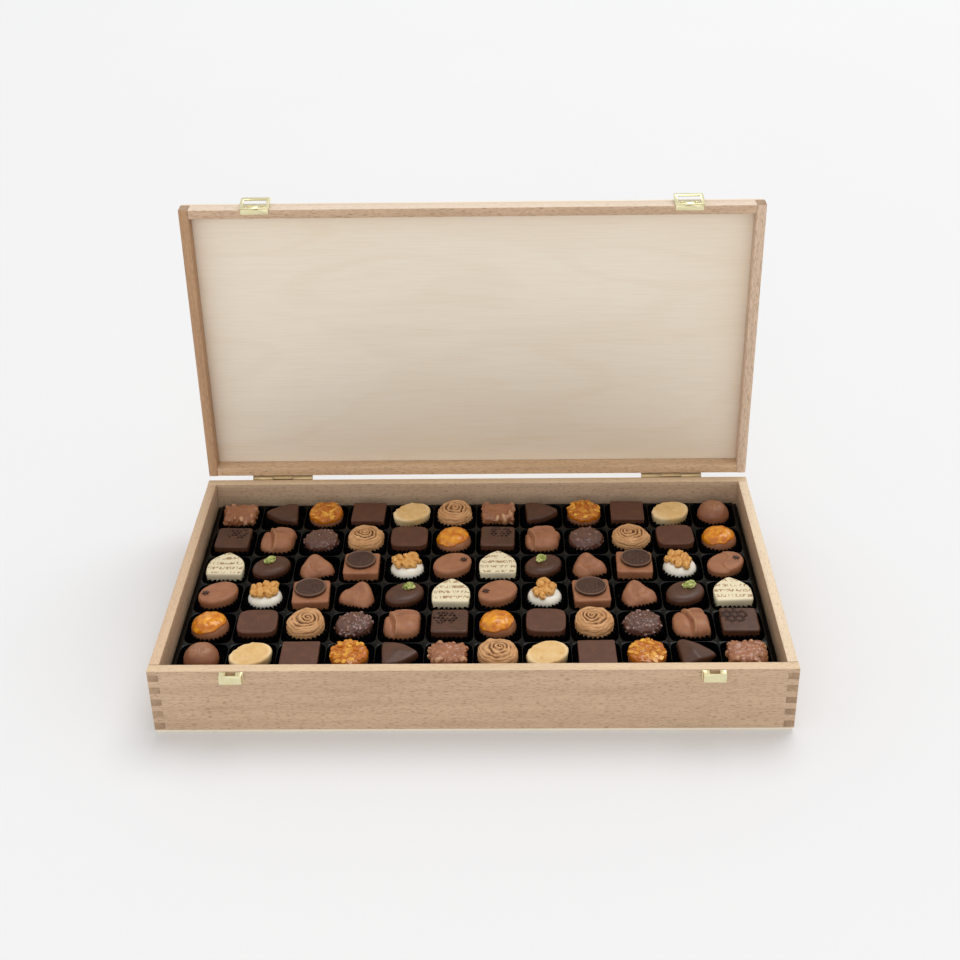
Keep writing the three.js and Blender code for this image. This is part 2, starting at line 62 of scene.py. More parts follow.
# The Mix node's sockets for colours, by their number
MIX_SHARE, MIX_FIRST, MIX_SECOND, MIX_RESULT = 0, 6, 7, 2
WOOD_IOR = 1.45


class Axis(Enum):
    """The frame's axes, for the way that a board's grain runs."""

    X = 0
    Y = 1
    Z = 2

    def sizes(self, length: float, across: float) -> list[float]:
        """Sizes along X, Y and Z of a pattern that is drawn out along this axis.

        Args:
            length: Its size along this axis.
            across: Its size along the other two.

        Returns:
            The sizes.
        """
        return [length if axis is self else across for axis in Axis]


# Colours and nodes


def linear(colour: str) -> tuple[float, float, float, float]:
    """An sRGB hex colour as the linear colour that a shader takes.

    Args:
        colour: The colour, such as "#c3a889".

    Returns:
        Red, green, blue and a full alpha.
    """
    channels = [int(colour[start : start + 2], 16) / 255 for start in (1, 3, 5)]
    red, green, blue = (c / 12.92 if c <= 0.04045 else ((c + 0.055) / 1.055) ** 2.4 for c in channels)
    return red, green, blue, 1.0


class Nodes:
    """A material's nodes in the making, and the Object coordinates that its patterns read."""

    def __init__(self, material: bpy.types.Material) -> None:
        """Empties the material's node tree.

        Args:
            material: The material.
        """
        material.use_nodes = True
        self.tree = material.node_tree
        self.tree.nodes.clear()
        self.place = self.add("TexCoord", output="Object")

    def add(
        self, kind: str, sockets: Sockets | None = None, output: int | str | None = 0, **settings: object
    ) -> Socket | None:
        """Adds a node with its settings, values and links.

        Args:
            kind: The node's type, without its ShaderNode.
            sockets: A value or another node's output for each input, by its name or number.
            output: The output that is asked for, by its name or number, or None.
            **settings: The node's own settings.

        Returns:
            That output.
        """
        node = self.tree.nodes.new(f"ShaderNode{kind}")
        for name, value in settings.items():
            setattr(node, name, value)
        for name, value in (sockets or {}).items():
            if isinstance(value, Socket):
                self.tree.links.new(value, node.inputs[name])
            else:
                node.inputs[name].default_value = value
        return None if output is None else node.outputs[output]

    def mottle(self, sizes: Sequence[float], detail: float = 2, roughness: float = 0.5) -> Socket:
        """A mottled pattern whose patches are so many millimetres along each axis.

        Args:
            sizes: The patches' size along X, Y and Z in millimetres.
            detail: How many finer layers it has.
            roughness: How strong the finer layers are.

        Returns:
            The pattern, from 0 to 1.
        """
        spread = self.add("Mapping", {"Vector": self.place, "Scale": [1 / (size * MM) for size in sizes]})
        return self.add("TexNoise", {"Vector": spread, "Scale": 1, "Detail": detail, "Roughness": roughness})


class Finish:
    """A finish, which makes its material once and hands out the same one after that."""

    made: ClassVar[dict[str, bpy.types.Material]] = {}
    name: str
    tone: str
    deep: str

    def material(self) -> bpy.types.Material:
        """The finish's material.

        Returns:
            The material, made on the first call.
        """
        if self.name not in Finish.made:
            material = bpy.data.materials.new(self.name)
            nodes = Nodes(material)
            shader = nodes.add("BsdfPrincipled", self.dress(nodes))
            nodes.add("OutputMaterial", {"Surface": shader}, None)
            Finish.made[self.name] = material
        return Finish.made[self.name]

    def dress(self, nodes: Nodes) -> Sockets:
        """Builds the pattern.

        Args:
            nodes: The material's nodes.

        Returns:
            What goes into the shader's sockets.
        """
        raise NotImplementedError

    def toned(self, nodes: Nodes, share: Socket) -> Socket:
        """The tone, turned to the deep colour by a share.

        Args:
            nodes: The material's nodes.
            share: The share of the deep colour.

        Returns:
            The colour.
        """
        colours = {MIX_SHARE: share, MIX_FIRST: linear(self.tone), MIX_SECOND: linear(self.deep)}
        return nodes.add("Mix", colours, MIX_RESULT, data_type="RGBA")


@dataclass(frozen=True)
class Hardwood(Finish):
    """Plainly sawn tan hardwood, sanded fine and left bare, so it is dull and its open pores show
    as short dark dashes. The dashes are drawn twice as thick as real pores so that they show."""

    name: str
    tone: str
    deep: str
    pore: str
    along: Axis
    figure_length: float = 150
    figure_width: float = 9
    streak_length: float = 26
    streak_width: float = 1.0
    pore_length: float = 3.8
    pore_width: float = 0.42
    pore_share: float = 0.575
    pore_edge: float = 0.09
    pore_depth: float = 0.62
    relief: float = 0.12
    roughness: float = 0.6

    def dress(self, nodes: Nodes) -> Sockets:
        """Broad bands of figure, fine streaks and dashes of pores along the grain.

        Args:
            nodes: The material's nodes.

        Returns:
            What goes into the shader's sockets.
        """
        figure = nodes.mottle(self.along.sizes(self.figure_length, self.figure_width), 4, 0.6)
        bands = nodes.add("MapRange", {"Value": figure, "From Min": 0.34, "From Max": 0.66, "To Max": 0.5})
        streak = nodes.mottle(self.along.sizes(self.streak_length, self.streak_width), 3, 0.7)
        streaks = nodes.add("MapRange", {"Value": streak, "From Min": 0.35, "From Max": 0.7, "To Max": 0.5})
        pore = nodes.mottle(self.along.sizes(self.pore_length, self.pore_width), 1, 0.4)
        edges = {"From Min": self.pore_share, "From Max": self.pore_share + self.pore_edge}
        pores = nodes.add("MapRange", {"Value": pore, **edges, "To Max": self.pore_depth})
        wood = self.toned(nodes, nodes.add("Math", {0: bands, 1: streaks}, operation="ADD"))
        colours = {MIX_SHARE: pores, MIX_FIRST: wood, MIX_SECOND: linear(self.pore)}
        colour = nodes.add("Mix", colours, MIX_RESULT, data_type="RGBA")
        relief = nodes.add("Math", {0: streak, 1: pores}, operation="SUBTRACT")
        bump = nodes.add("Bump", {"Height": relief, "Strength": 0.5, "Distance": self.relief * MM})
        return {"Base Color": colour, "Normal": bump, "Roughness": self.roughness, "IOR": WOOD_IOR}


@dataclass(frozen=True)
class Veneer(Finish):
    """Pale rotary-cut poplar plywood, sanded and bare: nearly plain, with a few wide faint loops
    of figure and soft cloudy patches."""

    name: str
    tone: str
    deep: str
    along: Axis = Axis.X
    loop_length: float = 230
    loop_width: float = 62
    loop_count: float = 38
    cloud: float = 140
    streak_length: float = 30
    streak_width: float = 1.2
    relief: float = 0.08
    roughness: float = 0.55

    def dress(self, nodes: Nodes) -> Sockets:
        """Contour lines of a slow pattern for the figure, over clouds and a faint fine streak.

        Args:
            nodes: The material's nodes.

        Returns:
            What goes into the shader's sockets.
        """
        slow = nodes.mottle(self.along.sizes(self.loop_length, self.loop_width), 1.5, 0.4)
        waves = nodes.add("Math", {0: slow, 1: self.loop_count}, operation="MULTIPLY")
        loops = nodes.add("Math", {0: waves}, operation="SINE")
        peaks = {"Value": loops, "From Min": 0.4, "From Max": 1.0, "To Max": 0.14}
        figure = nodes.add("MapRange", peaks, interpolation_type="SMOOTHSTEP")
        cloud = nodes.mottle(self.along.sizes(2 * self.cloud, self.cloud))
        clouds = nodes.add("MapRange", {"Value": cloud, "From Min": 0.3, "From Max": 0.7, "To Max": 0.45})
        fine = nodes.mottle(self.along.sizes(self.streak_length, self.streak_width))
        fines = nodes.add("MapRange", {"Value": fine, "From Min": 0.4, "From Max": 0.7, "To Max": 0.25})
        both = nodes.add("Math", {0: figure, 1: clouds}, operation="ADD")
        colour = self.toned(nodes, nodes.add("Math", {0: both, 1: fines}, operation="ADD"))
        bump = nodes.add("Bump", {"Height": fine, "Strength": 0.3, "Distance": self.relief * MM})
        return {"Base Color": colour, "Normal": bump, "Roughness": self.roughness, "IOR": WOOD_IOR}


@dataclass(frozen=True)
class Brass(Finish):
    """Thin pressed steel, brass plated and tumbled bright: pale gold with soft blurred reflections
    and a little cloudiness from handling."""

    name: str = "brass_plated_steel"
    tone: str = "#f3ecc6"
    deep: str = "#e0d5a6"
    roughness: float = 0.26
    cloud: float = 5
    grain: float = 0.4

    def dress(self, nodes: Nodes) -> Sockets:
        """Clouds of slightly deeper plating, with a fine tumbled grain in the roughness.

        Args:
            nodes: The material's nodes.

        Returns:
            What goes into the shader's sockets.
        """
        colour = self.toned(nodes, nodes.mottle([self.cloud] * 3, 3))
        grain = nodes.mottle([self.grain] * 3, 1)
        spread = {"To Min": self.roughness - 0.06, "To Max": self.roughness + 0.12}
        return {
            "Base Color": colour,
            "Roughness": nodes.add("MapRange", {"Value": grain, **spread}),
            "Metallic": 1.0,
        }


@dataclass(frozen=True)
class Sheet(Finish):
    """Thin black sheet goods: vacuum-formed polystyrene, glossy with a slight waviness, or the
    greaseproof paper of the cups, which is nearly matt."""

    name: str
    tone: str
    deep: str
    roughness: float
    wave: float = 6.0
    wave_depth: float = 0.05
    ior: float = 1.5

    def dress(self, nodes: Nodes) -> Sockets:
        """A slow wave in the surface and a faint change of tone.

        Args:
            nodes: The material's nodes.

        Returns:
            What goes into the shader's sockets.
        """
        wave = nodes.mottle([self.wave] * 3, 3)
        bump = nodes.add("Bump", {"Height": wave, "Strength": 0.6, "Distance": self.wave_depth * MM})
        colour = self.toned(nodes, wave)
        return {"Base Color": colour, "Normal": bump, "Roughness": self.roughness, "IOR": self.ior}


@dataclass(frozen=True)
class Confection(Finish):
    """Chocolate, nuts and glazes. The tone drifts to the deep colour in soft patches, the mesh's
    painted shade value brings in the accent, which is a real second colour on some kinds and
    painted light or shade on others, and a fine grit breaks up the gloss."""

    name: str
    tone: str
    deep: str
    accent: str
    roughness: float = 0.4
    patch: float = 7.0
    grit: float = 0.9
    grit_depth: float = 0.05
    speckle: float = 0.0
    fleck: str = ""
    coat: float = 0.0
    subsurface: float = 0.0
    row_height: float = 3.0
    row_gap: tuple[float, float] = (1.3, 1.7)
    stroke: tuple[float, float] = (0.03, 0.07)

    def dress(self, nodes: Nodes) -> Sockets:
        """Patches, speckle, painted shade, flecks and grit.

        Args:
            nodes: The material's nodes.

        Returns:
            What goes into the shader's sockets.
        """
        patch = nodes.mottle([self.patch] * 3, 3, 0.6)
        share = nodes.add("MapRange", {"Value": patch, "From Min": 0.3, "From Max": 0.7})
        grit = nodes.mottle([self.grit] * 3, 2, 0.6)
        if self.speckle:
            specks = {"Value": grit, "From Min": 0.4, "From Max": 0.65, "To Max": self.speckle}
            share = nodes.add("Math", {0: share, 1: nodes.add("MapRange", specks)}, operation="ADD")
        body = self.toned(nodes, share)
        shade = nodes.add("Attribute", output="Fac", attribute_name="shade")
        colours = {MIX_SHARE: shade, MIX_FIRST: body, MIX_SECOND: linear(self.accent)}
        colour = nodes.add("Mix", colours, MIX_RESULT, data_type="RGBA")
        if self.fleck:
            colour = self.flecked(nodes, colour)
        bump = nodes.add("Bump", {"Height": grit, "Strength": 0.7, "Distance": self.grit_depth * MM})
        return {
            "Base Color": colour,
            "Normal": bump,
            "Roughness": self.roughness,
            "IOR": 1.4,
            "Coat Weight": self.coat,
            "Coat Roughness": 0.08,
            "Subsurface Weight": self.subsurface,
            "Subsurface Radius": (1.0, 0.6, 0.35),
            "Subsurface Scale": 1.2 * MM,
        }

    def flecked(self, nodes: Nodes, colour: Socket) -> Socket:
        """Rows of short thin strokes on the faces that look up.

        Args:
            nodes: The material's nodes.
            colour: The colour under the strokes.

        Returns:
            The colour with the strokes.
        """
        fade = {"To Min": 1, "To Max": 0}
        line = nodes.mottle([3.0, 4.4, 40], 1)
        level = nodes.add("Math", {0: line, 1: 0.5}, operation="SUBTRACT")
        near = nodes.add("Math", {0: level}, operation="ABSOLUTE")
        low, high = self.stroke
        thin = nodes.add("MapRange", {"Value": near, "From Min": low, "From Max": high, **fade})
        across = nodes.add("SeparateXYZ", {0: nodes.place}, 1)
        row = nodes.add("Math", {0: across, 1: self.row_height * MM}, operation="PINGPONG")
        low, high = (height * MM for height in self.row_gap)
        gaps = nodes.add("MapRange", {"Value": row, "From Min": low, "From Max": high, **fade})
        upward = nodes.add("SeparateXYZ", {0: nodes.add("NewGeometry", output="Normal")}, 2)
        tops = nodes.add("MapRange", {"Value": upward, "From Min": 0.8, "From Max": 0.95, "To Max": 0.85})
        broken = nodes.add("Math", {0: thin, 1: gaps}, operation="MULTIPLY")
        strokes = nodes.add("Math", {0: broken, 1: tops}, operation="MULTIPLY")
        colours = {MIX_SHARE: strokes, MIX_FIRST: colour, MIX_SECOND: linear(self.fleck)}
        return nodes.add("Mix", colours, MIX_RESULT, data_type="RGBA")


def hardwood(use: str, along: Axis, tone: str, deep: str) -> Hardwood:
    """The box's wood for one kind of face.

    Args:
        use: What the face is, for the material's name.
        along: The way that the grain runs.
        tone: Its light colour.
        deep: Its dark colour.

    Returns:
        The finish.
    """
    pore_depth = 0.32 if use.endswith("rim") else 0.62
    return Hardwood(
        f"tan_hardwood_{use}_{along.name.lower()}", tone, deep, "#8a6c50", along, pore_depth=pore_depth
    )


FACE_TONES = ("#d2b495", "#b4957a")
# The left rim is toned darker and the right rim lighter than the front and back: painted light, brighter on
# the right.
RIM_TONES = {
    "front": ("#e3c9a6", "#d1b291"),
    "back": ("#e3c9a6", "#d1b291"),
    "left": ("#d9bc9b", "#c8a788"),
    "right": ("#edd9bb", "#dac1a4"),
}
# The left rail is toned darker and the right rail lighter: painted light, brighter on the right.
RAIL_TONES = {
    "front": ("#d6b799", "#bd9c7f"),
    "back": ("#dfbe9a", "#c6a481"),
    "left": ("#c49c76", "#ab8361"),
    "right": ("#e6cbb1", "#cdb095"),
}
LID_EDGE_TONES = ("#e7d4bf", "#dac3ab")
END_TONES = ("#bea081", "#83674c")

PLYWOOD = Veneer("poplar_plywood_sanded", "#f2e7d6", "#e6d5bc")
PLY_BASE = Veneer("poplar_plywood_underside", "#f4ecdb", "#e6d8be")
BRASS = Brass()
# The hinges' brass is rougher and painted darker: the darker colour is a painted shade for the dark wood
# that it reflects.
BRASS_HINGE = Brass("brass_plated_steel_dull", "#c4ac84", "#a58f68", 0.36)
TRAY_BLACK = Sheet("black_polystyrene_vacuum_formed", "#020303", "#040606", 0.14, ior=1.24)
CUP_BLACK = Sheet("black_greaseproof_paper", "#040304", "#080707", 0.5, 2.0, 0.03, 1.25)
# Its accent is a painted highlight on the domes' tops.
MILK = Confection("milk_chocolate_moulded", "#925f42", "#825238", "#b98c66", roughness=0.34)
# Its accent lightens the hazelnut lumps' tips: partly pale nut, partly a painted highlight.
MILK_NUTTY = Confection(
    "milk_chocolate_over_nuts",
    "#a56b48",
    "#8d5838",
    "#ddb284",
    roughness=0.26,
    grit=1.4,
    grit_depth=0.07,
    coat=0.4,
)
# Its accent is a painted highlight along the fold's flap edge.
MILK_MATT = Confection("milk_chocolate_poured", "#a56f4d", "#925e41", "#c99872", roughness=0.4)
# Its accent is painted shade in the textured squares' pits and outlines, and the real colour of the stars.
DARK = Confection("dark_chocolate_moulded", "#573523", "#462b1e", "#2a1812", roughness=0.36)
# Its accent is a painted highlight on the disc's rim and pressed bars.
DARK_DISC = Confection("dark_chocolate_pressed", "#4a2e21", "#3c251a", "#8f6b55", roughness=0.32)
DARK_SPECKLED = Confection(
    "dark_chocolate_dusted",
    "#6a412b",
    "#543223",
    "#3a241c",
    roughness=0.5,
    grit=0.8,
    grit_depth=0.08,
    speckle=0.9,
)
# Its accent is a painted highlight on the rough pralines' chips.
DARK_CHIPS = Confection(
    "dark_chocolate_with_chips",
    "#674435",
    "#503228",
    "#bd978d",
    roughness=0.26,
    grit=1.2,
    grit_depth=0.1,
    coat=0.3,
)
# Its accent is painted shade in the swirls' grooves.
PIPED = Confection("gianduja_piped", "#d4a371", "#c4905d", "#5c3215", roughness=0.42, grit=0.5)
FLAKES = Confection(
    "almond_flakes_caramelised",
    "#c46c0a",
    "#a25304",
    "#eab03e",
    roughness=0.22,
    patch=2.6,
    grit_depth=0.07,
    coat=0.3,
)
GLAZE = Confection(
    "orange_glaze_poured",
    "#d47a04",
    "#b96003",
    "#efa61e",
    roughness=0.12,
    patch=4,
    grit=2.2,
    grit_depth=0.2,
    coat=0.35,
    subsurface=0.05,
)
WHITE = Confection(
    "white_chocolate_glossy", "#efe9dc", "#e6decb", "#f4f0e6", roughness=0.2, coat=0.3, subsurface=0.15
)
# Its accent darkens the hearts' sides as painted shade; the flecks are real marks.
IVORY = Confection(
    "ivory_chocolate_marked", "#f6ebd9", "#f0e3cb", "#dccf9c", roughness=0.45, fleck="#93642f"
)
BLONDE = Confection("blonde_chocolate_moulded", "#e4bf85", "#d8ad6c", "#f6e0b4", roughness=0.34)
# Its accent darkens the kernel low down and in its folds: partly its browner skin, partly painted shade.
WALNUT = Confection(
    "walnut_kernel_roasted", "#e4af64", "#c68a42", "#5e3616", roughness=0.36, patch=2.4, grit_depth=0.12
)
PISTACHIO = Confection(
    "pistachio_kernel_chopped", "#93a046", "#66762c", "#ccce84", roughness=0.42, patch=1.6, grit_depth=0.1
)


# Meshes in the making


class Form:
    """A mesh in the making, in millimetres. Each vertex carries a painted shade from 0 to 1, and
    those made since the last settle are the fresh ones, which the next step works on."""

    def __init__(self) -> None:
        """Starts an empty mesh."""
        self.mesh = bmesh.new()
        self.shade = self.mesh.verts.layers.float.new("shade")
        self.settled = self.mesh.verts.layers.int.new("settled")

    @classmethod
    def of_node(cls, node: str) -> "Form":
        """A merged copy of a CAD node, with its flat faces whole.

        Args:
            node: The CAD node's name.

        Returns:
            The form.
        """
        form = cls()
        form.mesh.from_mesh(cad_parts[node].data)
        mesh, layers = form.mesh, form.mesh.verts.layers
        form.shade = layers.float.get("shade") or layers.float.new("shade")
        form.settled = layers.int.get("settled") or layers.int.new("settled")
        bmesh.ops.scale(mesh, vec=(1 / MM,) * 3, verts=mesh.verts)
        bmesh.ops.remove_doubles(mesh, verts=mesh.verts, dist=0.002)
        bmesh.ops.dissolve_limit(mesh, angle_limit=math.radians(0.5), verts=mesh.verts, edges=mesh.edges)
        bmesh.ops.recalc_face_normals(mesh, faces=mesh.faces)
        return form

    def fresh(self) -> list[BMVert]:
        """The vertices made since the last settle."""
        return [vert for vert in self.mesh.verts if not vert[self.settled]]

    def settle(self, finish: int = 0, place: Matrix | None = None) -> None:
        """Ends a part of the form: places it and gives its faces their finish.

        Args:
            finish: The number of the finish among the piece's.
            place: Where the part goes, in millimetres.
        """
        fresh = self.fresh()
        faces = {face for vert in fresh for face in vert.link_faces}
        bmesh.ops.recalc_face_normals(self.mesh, faces=list(faces))
        if place is not None:
            bmesh.ops.transform(self.mesh, matrix=place, verts=fresh)
        for face in faces:
            face.material_index = finish
        for vert in fresh:
            vert[self.settled] = 1

    def pushed(self, amount: Callable[[Vector, Vector], float]) -> None:
        """Moves each fresh vertex along its normal.

        Args:
            amount: How far, in millimetres, from a vertex's place and normal.
        """
        fresh = self.fresh()
        bmesh.ops.recalc_face_normals(self.mesh, faces=list({f for v in fresh for f in v.link_faces}))
        self.mesh.normal_update()
        moves = [vert.normal * amount(vert.co, vert.normal) for vert in fresh]
        for vert, move in zip(fresh, moves):
            vert.co += move

    def moved(self, move: Callable[[Vector], Sequence[float]]) -> None:
        """Moves each fresh vertex to a new place.

        Args:
            move: The new place, from the old.
        """
        for vert in self.fresh():
            vert.co = move(vert.co)

    def painted(self, shade: Callable[[Vector, Vector], float]) -> None:
        """Paints the shade of each fresh vertex.

        Args:
            shade: The shade, from a vertex's place and normal.
        """
        self.mesh.normal_update()
        for vert in self.fresh():
            vert[self.shade] = min(1.0, max(0.0, shade(vert.co, vert.normal)))

    def extruded(self, edges: Sequence[BMEdge]) -> tuple[list[BMVert], list[BMEdge]]:
        """Pulls a new ring of edges out of a ring.

        Args:
            edges: The ring.

        Returns:
            The new ring's vertices and edges.
        """
        made = bmesh.ops.extrude_edge_only(self.mesh, edges=edges)["geom"]
        verts = [item for item in made if isinstance(item, BMVert)]
        chosen = set(verts)
        ring = [item for item in made if isinstance(item, BMEdge) and chosen.issuperset(item.verts)]
        return verts, ring

    def raised(self, height: float) -> list[BMVert]:
        """Lifts the fresh faces off their outline, which makes them a slab.

        Args:
            height: How high.

        Returns:
            The vertices of the slab's top.
        """
        faces = [face for face in self.mesh.faces if not face.verts[0][self.settled]]
        made = bmesh.ops.extrude_face_region(self.mesh, geom=faces)["geom"]
        top = [item for item in made if isinstance(item, BMVert)]
        bmesh.ops.translate(self.mesh, vec=(0, 0, height), verts=top)
        return top

    def eased(self, edges: Iterable[BMEdge], width: float, segments: int = 2) -> None:
        """Rounds edges over.

        Args:
            edges: The edges.
            width: How far back from the edge the rounding starts.
            segments: How many faces it has.
        """
        bmesh.ops.bevel(
            self.mesh,
            geom=list(edges),
            offset=width,
            offset_type="OFFSET",
            segments=segments,
            profile=0.5,
            affect="EDGES",
            material=-1,
            clamp_overlap=True,
        )

    def sharp_edges(self, angle: float = 40, shortest: float = 0.0) -> list[BMEdge]:
        """Fresh edges where two faces meet at an angle.

        Args:
            angle: The least angle in degrees.
            shortest: The least length.

        Returns:
            The edges.
        """
        return [
            edge
            for edge in self.mesh.edges
            if not edge.verts[0][self.settled]
            and edge.is_manifold
            and edge.calc_length() > shortest
            and edge.calc_face_angle() > math.radians(angle)
        ]


def finished(
    name: str,
    form: Form,
    finishes: Sequence[Finish],
    body: str,
    stands_for: Sequence[str] = (),
    crease: float = 38,
) -> bpy.types.Object:
    """Turns a form into a piece that rides on its body.

    Args:
        name: The piece's name.
        form: Its mesh, in millimetres.
        finishes: Its finishes, in the order of the faces' numbers.
        body: The CAD body that it moves with.
        stands_for: The CAD nodes that it replaces.
        crease: The angle in degrees from which an edge is shaded sharp.

    Returns:
        The piece.
    """
    mesh = form.mesh
    mesh.verts.layers.int.remove(form.settled)
    bmesh.ops.scale(mesh, vec=(MM,) * 3, verts=mesh.verts)
    mesh.normal_update()
    for face in mesh.faces:
        face.smooth = True
    for edge in mesh.edges:
        if len(edge.link_faces) == 2 and edge.calc_face_angle(0.0) > math.radians(crease):
            edge.smooth = False
    data = bpy.data.meshes.new(name)
    mesh.to_mesh(data)
    mesh.free()
    for finish in finishes:
        data.materials.append(finish.material())
    piece = bpy.data.objects.new(name, data)
    bpy.context.scene.collection.objects.link(piece)
    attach(piece, body)
    if stands_for:
        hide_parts(*stands_for)
    LOG.info("%s: %d faces on %s", name, len(data.polygons), body)
    return piece


# Outlines and profiles


def oval(half_length: float, half_width: float, turn: float = 0.0, power: float = 2.0) -> Outline:
    """An ellipse, or with a higher power a rectangle with round corners.

    Args:
        half_length: Half its length.
        half_width: Half its width.
        turn: How far it is turned, in degrees.
        power: 2 for an ellipse, more for squarer corners.

    Returns:
        The radius at an angle.
    """

    def radius(angle: float) -> float:
        """The radius at an angle in radians.

        Args:
            angle: The angle in radians.

        Returns:
            The radius.
        """
        along = abs(math.cos(angle - math.radians(turn))) / half_length
        across = abs(math.sin(angle - math.radians(turn))) / half_width
        return (along**power + across**power) ** (-1 / power)

    return radius


def sided(sides: Sequence[tuple[float, float]], power: float) -> Outline:
    """A polygon with round corners.

    Args:
        sides: For each side the angle in degrees that it faces, and its distance from the middle.
        power: How sharp the corners are.

    Returns:
        The radius at an angle.
    """

    def radius(angle: float) -> float:
        """The radius at an angle in radians."""
        shares = (max(0.0, math.cos(angle - math.radians(facing))) / away for facing, away in sides)
        return sum(share**power for share in shares) ** (-1 / power)

    return radius


def traced(
    corners: Sequence[tuple[float, float, float]], half: float, spacing: float = 0.8
) -> list[tuple[float, float]]:
    """A profile with rounded corners, in short steps.

    Args:
        corners: Radius, height and rounding of each corner, from the middle of the base upwards.
        half: The radius that counts as one.
        spacing: The longest step, past the base.

    Returns:
        Share of the outline and height of each point.
    """
    points = [Vector(corner[:2]) for corner in corners]
    line = [points[0]]
    for before, here, after, (_, _, rounding) in zip(points, points[1:], points[2:], corners[1:]):
        back, ahead = before - here, after - here
        start = here + back.normalized() * min(rounding, back.length / 2)
        end = here + ahead.normalized() * min(rounding, ahead.length / 2)
        steps = max(1, math.ceil(2 * rounding / spacing))
        for step in range(steps + 1):
            share = step / steps
            line.append(start.lerp(here, share).lerp(here.lerp(end, share), share))
    line.append(points[-1])
    filled = line[:2]
    for here, there in zip(line[1:], line[2:]):
        steps = max(1, math.ceil((there - here).length / spacing))
        filled += [here.lerp(there, step / steps) for step in range(1, steps + 1)]
    return [(point.x / half, point.y) for point in filled]


def turned(form: Form, outline: Outline, profile: Sequence[tuple[float, float]], steps: int = 64) -> None:
    """Spins a profile and draws it out to an outline.

    Args:
        form: The form that it is added to.
        outline: The outline.
        profile: Share of the outline and height of each point.
        steps: How many faces there are round it.
    """
    verts = [form.mesh.verts.new((share, 0, height)) for share, height in profile]
    edges = [form.mesh.edges.new(pair) for pair in zip(verts, verts[1:])]
    bmesh.ops.spin(
        form.mesh,
        geom=verts + edges,
        cent=(0, 0, 0),
        axis=(0, 0, 1),
        dvec=(0, 0, 0),
        angle=2 * math.pi,
        steps=steps,
        use_merge=True,
        use_duplicate=False,
    )
    bmesh.ops.remove_doubles(form.mesh, verts=form.fresh(), dist=1e-5)

    def drawn_out(place: Vector) -> Sequence[float]:
        """The place at the outline's radius.

        Args:
            place: A place on the praline, in millimetres.

        Returns:
            The new place.
        """
        angle = math.atan2(place.y, place.x)
        radius = outline(angle) * math.hypot(place.x, place.y)
        return radius * math.cos(angle), radius * math.sin(angle), place.z

    form.moved(drawn_out)


@dataclass
class Block:
    """A drafted block with a fine grid for its top, round upright corners and an eased rim."""

    width: float
    depth: float
    height: float
    power: float = 14.0
    edge: float = 1.0
    foot: float = 0.94
    spacing: float = 0.8

    def add_to(self, form: Form) -> None:
        """Makes the block.

        Args:
            form: The form that it is added to.
        """
        half_x, half_y = self.width / 2 - self.edge, self.depth / 2 - self.edge
        before = set(form.mesh.edges)
        bmesh.ops.create_grid(
            form.mesh,
            x_segments=round(self.width / self.spacing),
            y_segments=round(self.depth / self.spacing),
            size=0.5,
        )
        outline = oval(half_x, half_y, 0, self.power)

        def cornered(place: Vector) -> Sequence[float]:
            """The grid's corners drawn in to the outline.

            Args:
                place: A vertex's place, in millimetres.

            Returns:
                Its new place.
            """
            x, y = 2 * place.x * half_x, 2 * place.y * half_y
            reach = max(abs(x) / half_x, abs(y) / half_y)
            if reach < 1e-6:
                return x, y, self.height
            angle = math.atan2(y, x)
            square = 1 / max(abs(math.cos(angle)) / half_x, abs(math.sin(angle)) / half_y)
            pull = 1 + (outline(angle) / square - 1) * reach**4
            return x * pull, y * pull, self.height

        form.moved(cornered)
        rim = [edge for edge in form.mesh.edges if edge not in before and edge.is_boundary]
        turns = [
            (self.edge * math.sin(a), self.edge * (1 - math.cos(a))) for a in (0.4, 0.8, 1.2, math.pi / 2)
        ]
        rings = [(half_x + out, half_y + out, self.height - down) for out, down in turns]
        steps = max(3, round(self.height / (1.6 * self.spacing)))
        for step in range(1, steps + 1):
            share = step / steps
            draft = 1 + (self.foot - 1) * share
            rings.append(
                (self.width / 2 * draft, self.depth / 2 * draft, (self.height - self.edge) * (1 - share))
            )
        reach_x, reach_y = half_x, half_y
        for next_x, next_y, level in rings:
            verts, rim = form.extruded(rim)
            for vert in verts:
                vert.co = (vert.co.x * next_x / reach_x, vert.co.y * next_y / reach_y, level)
            reach_x, reach_y = next_x, next_y
        bmesh.ops.contextual_create(form.mesh, geom=rim)


def apart(angle: float, other: float) -> float:
    """How far one angle is past another.

    Args:
        angle: The angle in radians.
        other: The other, in radians.

    Returns:
        The difference, from minus to plus half a turn.
    """
    return (angle - other + math.pi) % (2 * math.pi) - math.pi


def smooth(value: float, low: float, high: float) -> float:
    """A smooth step from 0 at low to 1 at high.

    Args:
        value: The value.
        low: Where the step starts.
        high: Where it ends.

    Returns:
        The step's height.
    """
    share = min(1.0, max(0.0, (value - low) / (high - low)))
    return share * share * (3 - 2 * share)


def hump(x: float, y: float, half_x: float, half_y: float) -> float:
    """A round hump of height one in the middle.

    Args:
        x: Distance from its middle along X.
        y: Distance from its middle along Y.
        half_x: Its spread along X.
        half_y: Its spread along Y.

    Returns:
        Its height there.
    """
    return math.exp(-((x / half_x) ** 2) - (y / half_y) ** 2)


# Pralines


@dataclass(frozen=True)
class Seat:
    """A praline's cell in the tray, counted from the back left."""

    row: int
    column: int

    @property
    def label(self) -> str:
        """The seat's name, such as r1c1."""
        return f"r{self.row}c{self.column}"


